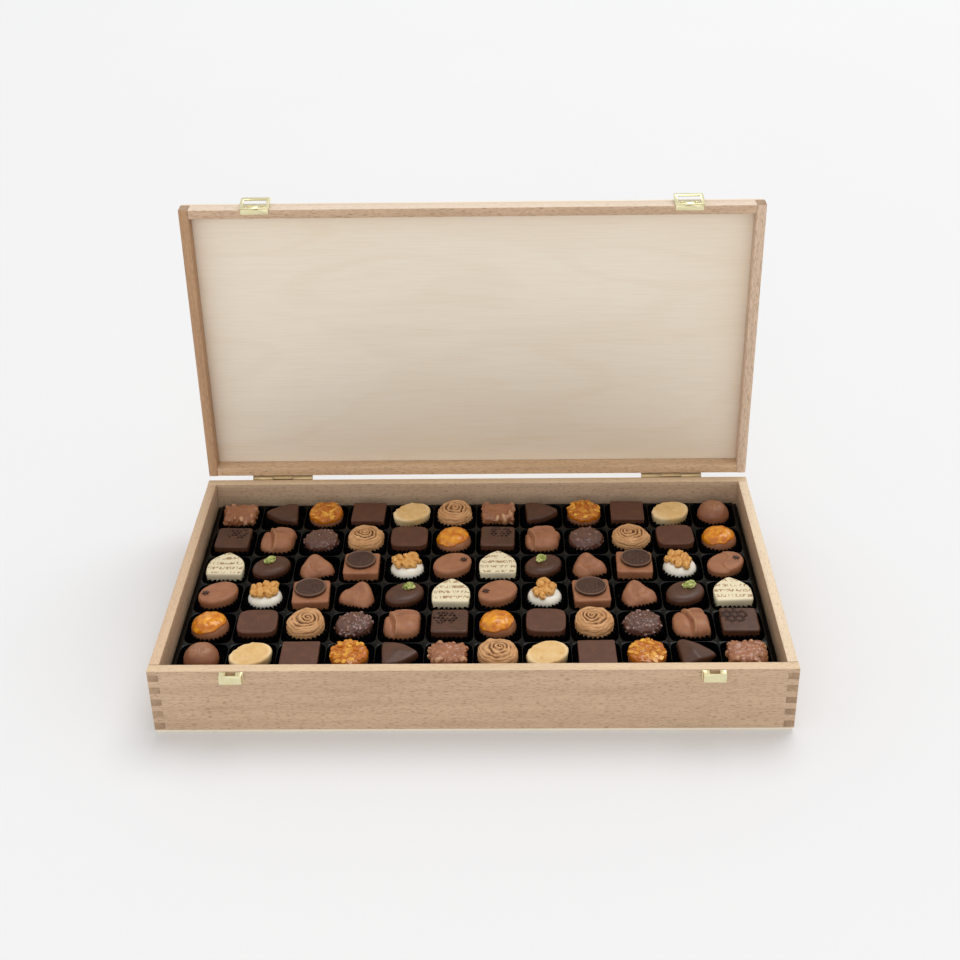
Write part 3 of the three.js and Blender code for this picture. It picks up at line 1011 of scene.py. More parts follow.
class PralineForm(Form):
    """A praline in the making round its own middle, standing on z = 0, with the random draws and
    the noise that belong to its seat."""

    def __init__(self, seat: Seat) -> None:
        """Starts an empty mesh for a seat.

        Args:
            seat: Where the praline goes.
        """
        super().__init__()
        self.seat = seat
        self.draw = random.Random(100 * seat.row + seat.column)
        self.start = Vector([self.draw.uniform(0, 50) for _ in range(3)])

    def fuzz(self, place: Vector, size: float, layer: int = 1) -> float:
        """Smooth noise from -1 to 1.

        Args:
            place: The place, in millimetres.
            size: The noise's size.
            layer: Its number, where a praline has several of one size.

        Returns:
            The noise there.
        """
        return noise.noise(place / size + self.start * layer)

    def cell(self, place: Vector, size: float, layer: int = 1) -> tuple[float, float, float]:
        """The irregular cell that a place is in.

        Args:
            place: The place, in millimetres.
            size: The cells' size.
            layer: The pattern's number, where a praline has several.

        Returns:
            The distance from the cell's middle as a share of its size, the gap to the next cell,
            and the cell's own draw from -1 to 1.
        """
        distances, middles = noise.voronoi(place / size + self.start * layer)
        return distances[0], distances[1] - distances[0], noise.noise(middles[0] * 7.3)

    def uneven(self, depth: float, size: float) -> None:
        """Makes the fresh surface slightly uneven.

        Args:
            depth: How far it is pushed out or in, at most.
            size: How wide the swellings are.
        """
        self.pushed(lambda place, _: depth * self.fuzz(place, size))


@dataclass
class Praline:
    """What every kind of praline has: the size of its oval or block, how far that is turned and
    how square it is, its material slot and finishes, whether it has a CAD node of its own, and
    the height of its paper cup."""

    length: float = 26.0
    width: float = 25.0
    height: float = 14.0
    turn: float = 0.0
    power: float = 2.0
    slot: str = "milk_chocolate"
    finishes: tuple[Finish, ...] = (MILK,)
    loose: bool = True
    cup: float = 9.4

    def outline(self) -> Outline:
        """The praline's outline at its widest."""
        return oval(self.length / 2, self.width / 2, self.turn, self.power)

    def cup_outline(self, seat: Seat) -> Outline:
        """The outline that the paper cup follows."""
        return self.outline()

    def model(self, form: PralineForm) -> None:
        """Makes the praline.

        Args:
            form: The form to make it in.
        """
        raise NotImplementedError


@dataclass
class Hazelnut(Praline):
    """Block rolled in chopped roasted hazelnuts, which stand out as lumps with light tips."""

    length: float = 24.6
    width: float = 20.6
    height: float = 14.5
    power: float = 7
    finishes: tuple[Finish, ...] = (MILK_NUTTY,)
    lump: float = 4.4
    lump_height: float = 2.3

    def model(self, form: PralineForm) -> None:
        """A block whose top and upper sides are raised into lumps.

        Args:
            form: The form to make it in.
        """
        Block(self.length, self.width, self.height, self.power, 2.4, 0.94, 0.56).add_to(form)

        def lumps(place: Vector, _: Vector) -> float:
            """Round lumps of two sizes where the cell's draw calls for one.

            Args:
                place: A place on the praline, in millimetres.
                _: The surface's normal there, which it doesn't need.

            Returns:
                How far the surface is raised.
            """
            wavy = place + Vector((1, 1, 1)) * form.fuzz(place, 3.0)
            distance, _, chance = form.cell(wavy, self.lump)
            out = max(abs(place.x) / (0.5 * self.length), abs(place.y) / (0.5 * self.width))
            upper = smooth(place.z, 4.5, 10.5) * (0.2 + 0.8 * smooth(out, 0.5, 0.8))
            large = math.sqrt(max(0.0, 1 - (distance / 0.62) ** 2)) * smooth(chance, -0.12, 0.12)
            distance, _, chance = form.cell(wavy, 0.6 * self.lump, 2)
            small = math.sqrt(max(0.0, 1 - (distance / 0.55) ** 2)) * smooth(chance, 0.0, 0.15)
            return self.lump_height * upper * max(large, 0.5 * small) + 0.3 * form.fuzz(place, 3.2)

        def nut_and_highlight_tips(place: Vector, normal: Vector) -> float:
            """Paler tips on the upper lumps: partly nut showing through, partly a painted highlight."""
            share = lumps(place, normal) / self.lump_height
            return 0.6 * smooth(share, 0.62, 1.0) * smooth(place.z, 7, 10)

        # Painted highlight, with pale nut: the tips of the upper lumps are lightened.
        form.painted(nut_and_highlight_tips)
        form.pushed(lumps)
        form.settle()


@dataclass
class Triangle(Praline):
    """Rounded triangle of dark chocolate with its point to one side."""

    slot: str = "dark_chocolate"
    finishes: tuple[Finish, ...] = (DARK,)
    loose: bool = False
    cup: float = 10.4
    half: float = 12.0
    left_points: tuple[str, ...] = ("r1c2",)
    ridged: tuple[str, ...] = ("r6c11",)

    def outline(self) -> Outline:
        """A triangle with bowed sides and its point towards +X."""
        return sided([(184, 12), (-80, 10.7), (-50, 9.5), (50, 9.5), (82, 10.9)], 8)

    def cup_outline(self, seat: Seat) -> Outline:
        """The outline, with its point where the seat has it.

        Args:
            seat: The praline's seat.

        Returns:
            The cup's outline.
        """
        turn = math.pi if seat.label in self.left_points else 0.0
        plain = self.outline()
        return lambda angle: plain(angle - turn)

    def model(self, form: PralineForm) -> None:
        """A drafted triangle with a low ridge from its point, or a three-faced one.

        Args:
            form: The form to make it in.
        """
        corners = [(0, 0, 0), (10.8, 0, 0.6), (12, 11.6, 1.6), (11.2, 14.3, 1.4), (0, 14.9, 0)]
        turned(form, self.outline(), traced(corners, self.half), 80)
        steep = form.seat.label in self.ridged

        def ridge(place: Vector) -> Sequence[float]:
            """The top falls away on both sides of a ridge.

            Args:
                place: A vertex's place, in millimetres.

            Returns:
                Its new place.
            """
            along = place.x * 0.45 - place.y if steep else place.y
            off = place.x * 0.94 + place.y * 0.42 + 3.2 if steep else place.y - 1.0
            slope = 0.3 if steep else 0.07
            fall = slope * max(0.0, abs(off) - 0.6) + (0.05 * abs(along) if steep else 0.0)
            top = smooth(place.z, 9.0, 14.0)
            return place.x, place.y, place.z + top * (0.8 + (1.4 if steep else 0.0) - fall)

        form.moved(ridge)
        form.uneven(0.12, 5)
        form.settle(0, Matrix.Rotation(math.pi, 4, "Z") if form.seat.label in self.left_points else None)


@dataclass
class Florentine(Praline):
    """Disc of caramelised almond flakes on a milk chocolate foot."""

    length: float = 27.6
    width: float = 27
    slot: str = "caramel_flakes"
    finishes: tuple[Finish, ...] = (FLAKES, MILK)
    flakes: int = 60
    flake_length: float = 5.0
    flake_width: float = 3.2
    flake_thickness: float = 0.55
    bed: float = 15.2

    def model(self, form: PralineForm) -> None:
        """A foot, a lumpy bed of caramel on it, and overlapping flakes in the caramel.

        Args:
            form: The form to make it in.
        """
        corners = [(0, 0, 0), (11.8, 0, 0.8), (13.4, 9.6, 1.0), (12.8, 11.4, 0.6), (0, 11.4, 0)]
        turned(form, self.outline(), traced(corners, 13.8, 1.6), 48)
        form.settle(1)
        crown = [(12.4, self.bed, 1.4), (0, self.bed + 0.2, 0)]
        corners = [(0, 10.4, 0), (12.9, 10.6, 0.8), (13.5, 12.4, 1.2), *crown]
        turned(form, self.outline(), traced(corners, 13.8, 0.8), 72)
        form.uneven(0.55, 2.4)
        form.painted(lambda place, _: 0.3 * form.fuzz(place, 1.8))
        form.settle(0)
        for number in range(self.flakes):
            self.lay_flake(form, number / self.flakes)

    def lay_flake(self, form: PralineForm, share: float) -> None:
        """Lays one flake, an oval chip with a broken edge.

        Args:
            form: The form.
            share: How far out it lies, from 0 in the middle to 1 at the rim.
        """
        draw = form.draw
        corners = draw.randint(7, 10)
        bmesh.ops.create_circle(form.mesh, cap_ends=True, segments=corners, radius=0.5)
        for vert in form.fresh():
            vert.co *= draw.uniform(0.8, 1.15)
        bmesh.ops.scale(form.mesh, vec=(0.9, 0.9, 1), verts=form.raised(self.flake_thickness))
        tone = draw.choice((0.0, 0.15, 0.3, 0.5, 0.9)) * draw.uniform(0.6, 1.0)
        # Painted shade: each flake's underside is painted a quarter less pale than its top.
        form.painted(lambda place, _: tone * (0.75 if place.z < 0.1 else 1.0))
        away = 12.0 * math.sqrt(share)
        around = draw.uniform(0, 2 * math.pi)
        over_rim = smooth(away, 10.8, 12.4)
        lean = draw.uniform(0.0, 0.16) + 0.35 * over_rim
        length = draw.uniform(0.75, 1.15) * self.flake_length
        width = draw.uniform(0.75, 1.2) * self.flake_width
        level = self.bed + draw.uniform(-0.45, 0.2) - 0.6 * over_rim
        place = Matrix.Translation((away * math.cos(around), away * math.sin(around), level))
        tilt = Matrix.Rotation(lean, 4, Vector((-math.sin(around), math.cos(around), 0)))
        turn = Matrix.Rotation(draw.uniform(0, math.pi), 4, "Z")
        form.settle(0, place @ tilt @ turn @ Matrix.Diagonal((length, width, 1, 1)))


@dataclass
class Square(Praline):
    """Plain square of dark chocolate with crisp edges."""

    length: float = 26
    width: float = 25.4
    height: float = 13.8
    power: float = 26
    slot: str = "dark_chocolate"
    finishes: tuple[Finish, ...] = (DARK_SPECKLED,)
    loose: bool = False
    cup: float = 10.6

    def model(self, form: PralineForm) -> None:
        """A crisp block.

        Args:
            form: The form to make it in.
        """
        Block(self.length, self.width, self.height, 40, 0.55, 0.95, 1.2).add_to(form)
        form.uneven(0.1, 4)
        form.settle()


@dataclass
class Rounded(Square):
    """Dark square with bowed sides and round corners."""

    length: float = 28.2
    width: float = 25.6
    height: float = 14.6
    power: float = 4.2

    def model(self, form: PralineForm) -> None:
        """A block with bowed sides.

        Args:
            form: The form to make it in.
        """
        Block(self.length, self.width, self.height, self.power, 0.9, 0.93, 1.0).add_to(form)
        form.uneven(0.14, 4)
        form.settle()


@dataclass
class Textured(Praline):
    """Dark square with a pressed patch of small six-sided cells."""

    length: float = 26.2
    width: float = 25.2
    height: float = 14.4
    power: float = 12
    slot: str = "dark_chocolate"
    finishes: tuple[Finish, ...] = (DARK,)
    loose: bool = False
    cup: float = 10.2
    raised: tuple[str, ...] = ("r5c12",)

    def model(self, form: PralineForm) -> None:
        """A block, and on its top the patch of cells: raised outlines or sunk pits.

        Args:
            form: The form to make it in.
        """
        Block(self.length, self.width, self.height, self.power, 1.3, 0.94, 0.4).add_to(form)
        outlined = form.seat.label in self.raised
        pitch = 5.4 if outlined else 3.2
        middle = Vector((-3.4, 3.4, 0)) if form.seat.row > 3 else Vector((2.6, 5.6, 0))
        reach = Vector((9.4, 8.2)) if outlined else Vector((9.0, 7.4))

        def relief(place: Vector, normal: Vector) -> float:
            """The height of the pattern.

            Args:
                place: A place on the praline, in millimetres.
                normal: The surface's normal there.

            Returns:
                How far the surface is raised.
            """
            off = place - middle
            patch = 1 - smooth(math.hypot(off.x / reach.x, off.y / reach.y), 0.86, 1.06)
            if normal.z < 0.7 or patch <= 0:
                return 0.0
            edge = self.edge_distance(place.x, place.y, pitch)
            if outlined:
                return 1.3 * patch * (1 - smooth(edge, 0.3, 1.0))
            return -1.6 * patch * smooth(edge, 0.3, 0.8) * smooth(form.fuzz(place, 3.6), -0.2, 0.1)

        # Painted shade: the sunk pits, or the raised outlines, are darkened as shade falls in and beside
        # them.
        form.painted(lambda place, normal: 0.65 * abs(relief(place, normal)))
        form.pushed(relief)
        form.settle()

    @staticmethod
    def edge_distance(x: float, y: float, pitch: float) -> float:
        """Distance to the nearest edge of a honeycomb.

        Args:
            x: The place along X.
            y: The place along Y.
            pitch: The cells' width.

        Returns:
            The distance in millimetres.
        """
        rise = pitch * math.sqrt(3)
        best = 1e9
        for shift in (0.0, 0.5):
            dx = (x / pitch - shift + 0.5) % 1.0 - 0.5
            dy = (y / rise - shift + 0.5) % 1.0 - 0.5
            dx, dy = abs(dx) * pitch, abs(dy) * rise
            best = min(best, max(dx, 0.5 * dx + 0.866 * dy))
        return pitch / 2 - best


@dataclass
class Blonde(Praline):
    """Golden oval with a ragged left edge and a few bits of nut under its skin."""

    length: float = 30.6
    width: float = 23.2
    slot: str = "blonde_chocolate"
    finishes: tuple[Finish, ...] = (BLONDE,)
    loose: bool = False
    cup: float = 8.8
    turn: float = 26
    ragged_at: float = 165

    def model(self, form: PralineForm) -> None:
        """A flat-topped oval, scalloped along its left edge.

        Args:
            form: The form to make it in.
        """
        corners = [(0, 0, 0), (13.1, 0, 0.8), (15.3, 12.4, 1.2), (14.4, 13.9, 1.0), (0, 14, 0)]
        plain = self.outline()
        ragged = form.draw.uniform(0.5, 1.0)

        def scalloped(angle: float) -> float:
            """The outline with a ragged stretch at its upper left."""
            off = apart(angle, math.radians(self.ragged_at))
            return plain(angle) * (1 + 0.035 * ragged * math.sin(16 * angle) * hump(off, 0, 0.7, 1))

        turned(form, scalloped, traced(corners, 15.3, 0.7), 84)

        def bits(place: Vector, normal: Vector) -> float:
            """Low bumps on the top and a gentle unevenness.

            Args:
                place: A place on the praline, in millimetres.
                normal: The surface's normal there.

            Returns:
                How far the surface is raised.
            """
            distance, _, chance = form.cell(place, 4.2)
            bump = max(0.0, 1 - (distance / 0.4) ** 2) * smooth(chance, 0.08, 0.25) * max(0.0, normal.z)
            return 0.7 * bump + 0.35 * form.fuzz(place, 5)

        def paler_bumps_and_rim(place: Vector, normal: Vector) -> float:
            """Lighter bumps and a lighter rim."""
            return 0.75 * bits(place, normal) + 0.5 * smooth(math.hypot(place.x, place.y), 11, 13.5)

        # The bumps and the outer rim are painted paler than the rest.
        form.painted(paler_bumps_and_rim)
        form.pushed(bits)
        form.settle()


@dataclass
class Swirl(Praline):
    """Rosette of gianduja piped in fine ridges round an eye that is off its middle."""

    length: float = 28.4
    width: float = 27.2
    slot: str = "piped_cream"
    finishes: tuple[Finish, ...] = (PIPED,)
    cup: float = 10.4
    ridge: float = 2.9
    ridge_height: float = 1.5
    tails: ClassVar[dict[str, float]] = {"r5c3": 62, "r2c10": -8, "r2c4": 20}

    def model(self, form: PralineForm) -> None:
        """A rounded cake whose skin is grooved in a spiral, with the piping's tail at one side.

        Args:
            form: The form to make it in.
        """
        drawn = form.draw.uniform(0, 360)
        tail = math.radians(self.tails.get(form.seat.label, drawn))
        eye = Vector((form.draw.uniform(-2.5, 2.5), form.draw.uniform(0.5, 3.0), 0))
        start = form.draw.uniform(0, 2 * math.pi)

        def outline(angle: float) -> float:
            """An uneven round with a small pointed tail.

            Args:
                angle: The angle in radians.

            Returns:
                The radius there.
            """
            off = apart(angle, tail)
            uneven = 0.03 * math.sin(2 * angle + start) + 0.02 * math.sin(3 * angle + 2 * start)
            return oval(13.6, 13.0, 20)(angle) * (1 + uneven + 0.1 * hump(off, 0, 0.2, 1))

        corners = [(0, 0, 0), (11.4, 0, 1.2), (13.6, 8, 3), (13.3, 14.6, 2.4), (11, 16.6, 2), (0, 17.6, 0)]
        turned(form, outline, traced(corners, 13.6, 0.42), 120)

        def phase(place: Vector) -> float:
            """How many turns of the spiral lie inside this place.

            Args:
                place: A place on the praline, in millimetres.

            Returns:
                The number of turns.
            """
            share = min(1.0, math.hypot(place.x, place.y) / 13.4)
            off = Vector((place.x, place.y, 0)) - eye * (1 - share)
            lean = 0.8 * max(0.0, 16.4 - place.z) if share > 0.75 else 0.0
            wobble = 0.5 * form.fuzz(place, 6) + 0.2 * form.fuzz(place, 2.5)
            return (off.length + lean) / self.ridge + wobble + math.atan2(off.y, off.x) / (2 * math.pi)

        def groove(place: Vector) -> float:
            """Depth of the groove between ridges, from 0 to 1.

            Args:
                place: A place on the praline, in millimetres.

            Returns:
                The depth.
            """
            deep = abs(math.cos(math.pi * phase(place)))
            inner = 1 - smooth(math.hypot(place.x, place.y), 6.0, 11.5)
            varied = (0.3 + 0.8 * inner) * (0.9 + 1.1 * form.fuzz(place, 5, 3))
            return min(1.0, max(0.0, deep**4 * varied))

        # Painted shade: the grooves are darkened, most where they are deepest, as shade falls in them.
        form.painted(lambda place, _: 1.2 * groove(place) ** 1.3 * smooth(place.z, 2, 6))
        form.pushed(
            lambda place, _: (0.4 - self.ridge_height * groove(place)) * smooth(place.z, 2, 6)
            + 0.16 * math.cos(6 * math.pi * phase(place))
            + 0.9 * form.fuzz(place, 6, 2) * smooth(place.z, 12, 16)
        )
        form.settle()


@dataclass
class Dome(Praline):
    """Small tall dome of milk chocolate, a little drawn up at its top."""

    length: float = 24.8
    width: float = 24.6

    def model(self, form: PralineForm) -> None:
        """A dome with a faint ripple.

        Args:
            form: The form to make it in.
        """
        corners = [(0, 0, 0), (10.6, 0, 1), (12.5, 6, 4), (12, 13.4, 6), (7.2, 18.6, 5), (0, 19.5, 0)]
        turned(form, self.outline(), traced(corners, 12.4, 0.7), 64)
        form.pushed(
            lambda place, _: 0.28 * form.fuzz(place, 5)
            + 0.35 * form.fuzz(place, 1.8) * smooth(place.z, 17, 19)
        )
        # Painted highlight: the top of the dome is painted lighter, in a mottled spot.
        form.painted(lambda place, _: 0.2 * smooth(place.z, 16, 19) * (1 + form.fuzz(place, 1.4)))
        form.settle()


@dataclass
class Rough(Praline):
    """Oval of dark chocolate, rough with small chips that catch the light."""

    length: float = 27.8
    width: float = 24.8
    slot: str = "dark_chocolate"
    finishes: tuple[Finish, ...] = (DARK_CHIPS,)
    loose: bool = False
    cup: float = 10.2
    turn: float = 12
    chip: float = 2.4

    def model(self, form: PralineForm) -> None:
        """A crowned oval set with chips.

        Args:
            form: The form to make it in.
        """
        corners = [(0, 0, 0), (11.9, 0, 1), (13.7, 7.6, 4), (13, 13.4, 3.4), (8.4, 15.6, 3), (0, 16, 0)]
        turned(form, self.outline(), traced(corners, 13.9, 0.48), 104)
        strong = 1.0 if form.seat.row > 3 else 0.6

        def chips(place: Vector, _: Vector) -> float:
            """Small broken lumps, more of them on top.

            Args:
                place: A place on the praline, in millimetres.
                _: The surface's normal there, which it doesn't need.

            Returns:
                How far the surface is raised.
            """
            wavy = place + Vector((1, -1, 1)) * 0.7 * form.fuzz(place, 1.3)
            distance, _, chance = form.cell(wavy, self.chip)
            size = 0.28 + 0.6 * max(0.0, chance)
            present = smooth(chance, 0.0, 0.1) * smooth(place.z, 4, 9)
            return 1.3 * strong * present * math.sqrt(max(0.0, 1 - (distance / size) ** 2))

        def skin(place: Vector, normal: Vector) -> float:
            """The chips on an uneven ground."""
            return chips(place, normal) + 0.5 * form.fuzz(place, 4) + 0.25 * form.fuzz(place, 1.5, 2)

        # Painted highlight: the chips are painted lighter where they stand out.
        form.painted(lambda place, normal: 0.8 * chips(place, normal) - 0.2)
        form.pushed(skin)
        form.settle()


@dataclass
class Fold(Praline):
    """Milk chocolate poured over itself: a left lobe, a crease, and a flap that runs out to a
    pointed tail at the back right."""

    length: float = 26.4
    width: float = 25.8
    power: float = 3.0
    finishes: tuple[Finish, ...] = (MILK_MATT,)
    edges: tuple[tuple[str, float, float], ...] = (
        ("r5c5", -5.0, 34),
        ("r2c2", -2.0, 30),
        ("r2c8", -7.0, 16),
        ("r5c11", 0.5, -38),
    )

    def model(self, form: PralineForm) -> None:
        """A soft block whose top is shaped into the folds.

        Args:
            form: The form to make it in.
        """
        edge_at, tail = next((at, degrees) for label, at, degrees in self.edges if label == form.seat.label)

        def outline(angle: float) -> float:
            """The rounded square with its tail."""
            off = apart(angle, math.radians(tail))
            return self.outline()(angle) * (1 + 0.12 * hump(off, 0, 0.2, 1))

        corners = [(0, 0, 0), (11, 0, 1.5), (13, 6, 3), (12.8, 12, 3.4), (10, 14.6, 3.6), (0, 15.2, 0)]
        turned(form, outline, traced(corners, 13.2, 0.5), 96)

        def from_edge(place: Vector) -> float:
            """How far right of the flap's edge a place lies."""
            return place.x - edge_at + 0.26 * place.y + 0.02 * place.y**2

        def folds(place: Vector) -> Sequence[float]:
            """The left lobe, the flap that overlaps it, and the lip along the back.

            Args:
                place: A vertex's place, in millimetres.

            Returns:
                Its new place.
            """
            x, y = place.x, place.y
            off = from_edge(place)
            top = smooth(place.z, 5.0, 14.0)
            step = 2.0 * smooth(off, -0.8, 0.7) - 1.1
            bead = 0.9 * hump(off - 1.0, 0, 0.9, 1)
            gutter = -1.1 * hump(off + 1.0, 0, 1.1, 1)
            lobe = 0.9 * hump(off + 5.0, y, 3.2, 11)
            belly = 0.8 * hump(off - 8.0, y + 3, 5.5, 8)
            lip = 1.7 * hump(y - 8.6 - 0.1 * x, 0, 1.3, 1) * smooth(off, 0, 6)
            trough = -1.3 * hump(y - 5.6 - 0.1 * x, 0, 1.4, 1) * smooth(off, 1, 6)
            fall = -0.9 * smooth(-y, 4, 12)
            return x, y, place.z + top * (step + bead + gutter + lobe + belly + lip + trough + fall)

        form.moved(folds)
        # Painted highlight: a light line along the bead of the flap's edge.
        form.painted(
            lambda place, _: 0.55 * hump(from_edge(place) - 0.7, 0, 0.6, 1) * smooth(place.z, 10, 13)
        )
        form.uneven(0.22, 5)
        form.settle()


@dataclass
class Orange(Praline):
    """Milk chocolate dome under a poured orange glaze that leaves its lower right side bare."""

    length: float = 27
    width: float = 25.4
    slot: str = "orange_glaze"
    finishes: tuple[Finish, ...] = (MILK_MATT, GLAZE)
    turn: float = 10

    def model(self, form: PralineForm) -> None:
        """A dome, and the glaze as a thicker skin over its top and left.

        Args:
            form: The form to make it in.
        """
        corners = [(0, 0, 0), (11.6, 0, 1.2), (13.6, 6.5, 4), (12.8, 12.4, 4), (8.6, 16.8, 5), (0, 17.8, 0)]
        turned(form, self.outline(), traced(corners, 13.6, 0.5), 112)

        def above(place: Vector) -> float:
            """How far a place is inside the glaze's ragged border."""
            border = 12.0 + 0.14 * place.x - 0.05 * place.y + 1.2 * form.fuzz(place, 5)
            return place.z - border

        def thickness(place: Vector, _: Vector) -> float:
            """The glaze's skin with its lumps of zest."""
            skin = 0.6 + 0.4 * form.fuzz(place, 4.5) + 0.25 * form.fuzz(place, 2.2)
            return smooth(above(place), 0.0, 0.7) * skin + 0.15 * form.fuzz(place, 6)

        form.painted(
            lambda place, _: smooth(above(place), 0.4, 2.0) * (0.3 + 0.8 * form.fuzz(place, 3.4, 2))
        )
        form.pushed(thickness)
        glazed = [face for face in form.mesh.faces if above(face.calc_center_median()) > 0.3]
        form.settle()
        for face in glazed:
            face.material_index = 1


@dataclass
class Heart(Praline):
    """Ivory praline with a straight front and a back like a pointed arch, with fine marks."""

    slot: str = "marked_white"
    finishes: tuple[Finish, ...] = (IVORY,)
    loose: bool = False
    cup: float = 9.2

    def outline(self) -> Outline:
        """An arch with its flat side to the front and bowed sides."""
        right = [(-6, 14.6), (12, 14.4), (28, 14.0), (42, 13.6), (56, 13.5)]
        return sided([(-90, 12.2), *right, *((180 - facing, away) for facing, away in right)], 16)

    def model(self, form: PralineForm) -> None:
        """A flat-topped arch.

        Args:
            form: The form to make it in.
        """
        corners = [(0, 0, 0), (12.9, 0, 0.6), (14.4, 12.8, 0.9), (13.7, 14, 0.7), (0, 14, 0)]
        turned(form, self.outline(), traced(corners, 14.4, 1.0), 96)
        # Painted shade: the sides are painted darker and yellower than the top.
        form.painted(lambda place, normal: 0.5 * (1 - smooth(normal.z, 0.2, 0.7)))
        form.uneven(0.12, 5)
        form.settle()


@dataclass
class Pistachio(Praline):
    """Dark crowned oval with a piece of green pistachio near its top."""

    length: float = 30.4
    width: float = 23.2
    height: float = 14.8
    slot: str = "dark_chocolate"
    finishes: tuple[Finish, ...] = (DARK, PISTACHIO)
    loose: bool = False
    turn: float = 29
    nut: float = 3.2
    nut_places: ClassVar[dict[int, tuple[float, float, float]]] = {3: (-1.2, 2.6, 50), 4: (3.0, 3.4, 15)}

    def model(self, form: PralineForm) -> None:
        """A smooth oval, and the nut pressed into it.

        Args:
            form: The form to make it in.
        """
        corners = [(0, 0, 0), (12.8, 0, 1), (15, 9.4, 3), (14.4, 12.8, 2.4), (10.4, 14.4, 3), (0, 14.9, 0)]
        turned(form, self.outline(), traced(corners, 15.2, 0.8), 72)
        form.uneven(0.12, 6)
        form.settle()
        bmesh.ops.create_icosphere(form.mesh, subdivisions=4, radius=self.nut)

        def chopped(place: Vector, _: Vector) -> float:
            """Broken faces and grooves."""
            _, gap, chance = form.cell(place, 2.2)
            return 1.2 * chance + 0.5 * smooth(gap, 0, 0.3) - 0.3 + 0.3 * form.fuzz(place, 0.9)

        form.painted(lambda place, normal: 0.35 + 0.9 * chopped(place, normal))
        form.pushed(chopped)
        x, y, degrees = self.nut_places[form.seat.row]
        place = Matrix.Translation((x, y, self.height + 0.9))
        turn = Matrix.Rotation(math.radians(degrees), 4, "Z")
        form.settle(1, place @ turn @ Matrix.Diagonal((1.4, 0.95, 0.75, 1)))


@dataclass
class Peaks(Praline):
    """Three soft peaks of milk chocolate leaning together."""

    finishes: tuple[Finish, ...] = (MILK_MATT,)
    mirrored: tuple[str, ...] = ("r4c4",)

    def outline(self) -> Outline:
        """A rounded triangle with its long corner to the right."""
        return sided([(50, 10.2), (158, 11.0), (-72, 10.8), (215, 13.6), (2, 13.9), (104, 12.2)], 7)

    def cup_outline(self, seat: Seat) -> Outline:
        """The outline, mirrored where the seat has it so."""
        plain = self.outline()
        return (lambda angle: plain(math.pi - angle)) if seat.label in self.mirrored else plain

    def model(self, form: PralineForm) -> None:
        """A soft mound whose height follows its peaks.

        Args:
            form: The form to make it in.
        """
        corners = [(0, 0, 0), (11.6, 0, 1.4), (13.3, 5, 2.6), (12.9, 10.6, 3.2), (10.4, 13.2, 3), (0, 14, 0)]
        turned(form, self.outline(), traced(corners, 13.2, 0.5), 96)
        shift = [form.draw.uniform(-0.8, 0.8) for _ in range(4)]
        peaks = [
            (-2.6 + shift[0], 5.4, 7.4, 6.0, 7.2),
            (-8.2, -3.8 + shift[1], 5.2, 5.6, 3.8 + shift[2]),
            (1.6 + shift[3], -6.6, 5.2, 4.0, 2.6),
            (9.0, -0.4, 5.4, 5.6, 3.0),
        ]

        def heights(place: Vector) -> Sequence[float]:
            """The mound's top raised at the peaks, with gullies between them.

            Args:
                place: A vertex's place, in millimetres.

            Returns:
                Its new place.
            """
            level = 11.6 + sum(
                high * hump(place.x - x, place.y - y, rx, ry) for x, y, rx, ry, high in peaks
            )
            gully = -1.2 * hump(place.x + 3.4 + 0.3 * place.y, place.y + 4, 1.5, 6)
            share = smooth(place.z, 1.0, 13.0)
            return place.x, place.y, place.z * (1 + share * ((level + gully) / 14 - 1))

        form.moved(heights)
        form.uneven(0.2, 4.5)
        form.settle(0, Matrix.Scale(-1, 4, (1, 0, 0)) if form.seat.label in self.mirrored else None)


@dataclass
class Disc(Praline):
    """Square of milk chocolate that carries a dark oval disc with a raised rim."""

    length: float = 26.6
    width: float = 25.4
    height: float = 14.4
    power: float = 14
    finishes: tuple[Finish, ...] = (MILK_MATT, DARK_DISC)
    cup: float = 8.6
    offsets: ClassVar[dict[str, float]] = {"r3c4": -0.8, "r3c10": 1.4, "r4c3": -0.6, "r4c9": -0.4}

    def model(self, form: PralineForm) -> None:
        """The block, and the disc with plain upright bars in its middle.

        Args:
            form: The form to make it in.
        """
        Block(self.length, self.width, self.height, self.power, 1.3, 0.93, 1.2).add_to(form)
        form.uneven(0.12, 5)
        form.settle()
        rim = [(11.2, 0, 0.2), (11.7, 1.6, 0.5), (11.3, 2.7, 0.4), (10.6, 2.7, 0.4), (10, 1.8, 0.2)]
        corners = [(0, 0, 0), *rim, (0, 1.8, 0)]
        turned(form, oval(11.7, 10.7), traced(corners, 11.7, 0.4), 96)

        def pressed(place: Vector, normal: Vector) -> float:
            """Short bars in an oval patch on the disc's face.

            Args:
                place: A place on the praline, in millimetres.
                normal: The surface's normal there.

            Returns:
                How far the surface is raised.
            """
            inside = 1 - smooth(math.hypot(place.x / 8.2, place.y / 6.6), 0.8, 1.0)
            if normal.z < 0.6 or place.z > 2.2:
                return 0.0
            bars = smooth(math.sin(2 * math.pi * place.x / 3.0), -0.2, 0.5)
            broken = smooth(form.fuzz(place, 3.0), -0.25, 0.1)
            return 0.5 * inside * bars * broken

        # Painted highlight: the disc's rim top and the pressed bars are painted lighter.
        form.painted(lambda place, normal: 0.6 * smooth(place.z, 2.1, 2.6) + 0.6 * pressed(place, normal))
        form.pushed(pressed)
        across = self.offsets[form.seat.label]
        form.settle(1, Matrix.Translation((across, 2.0, self.height - 0.1)))


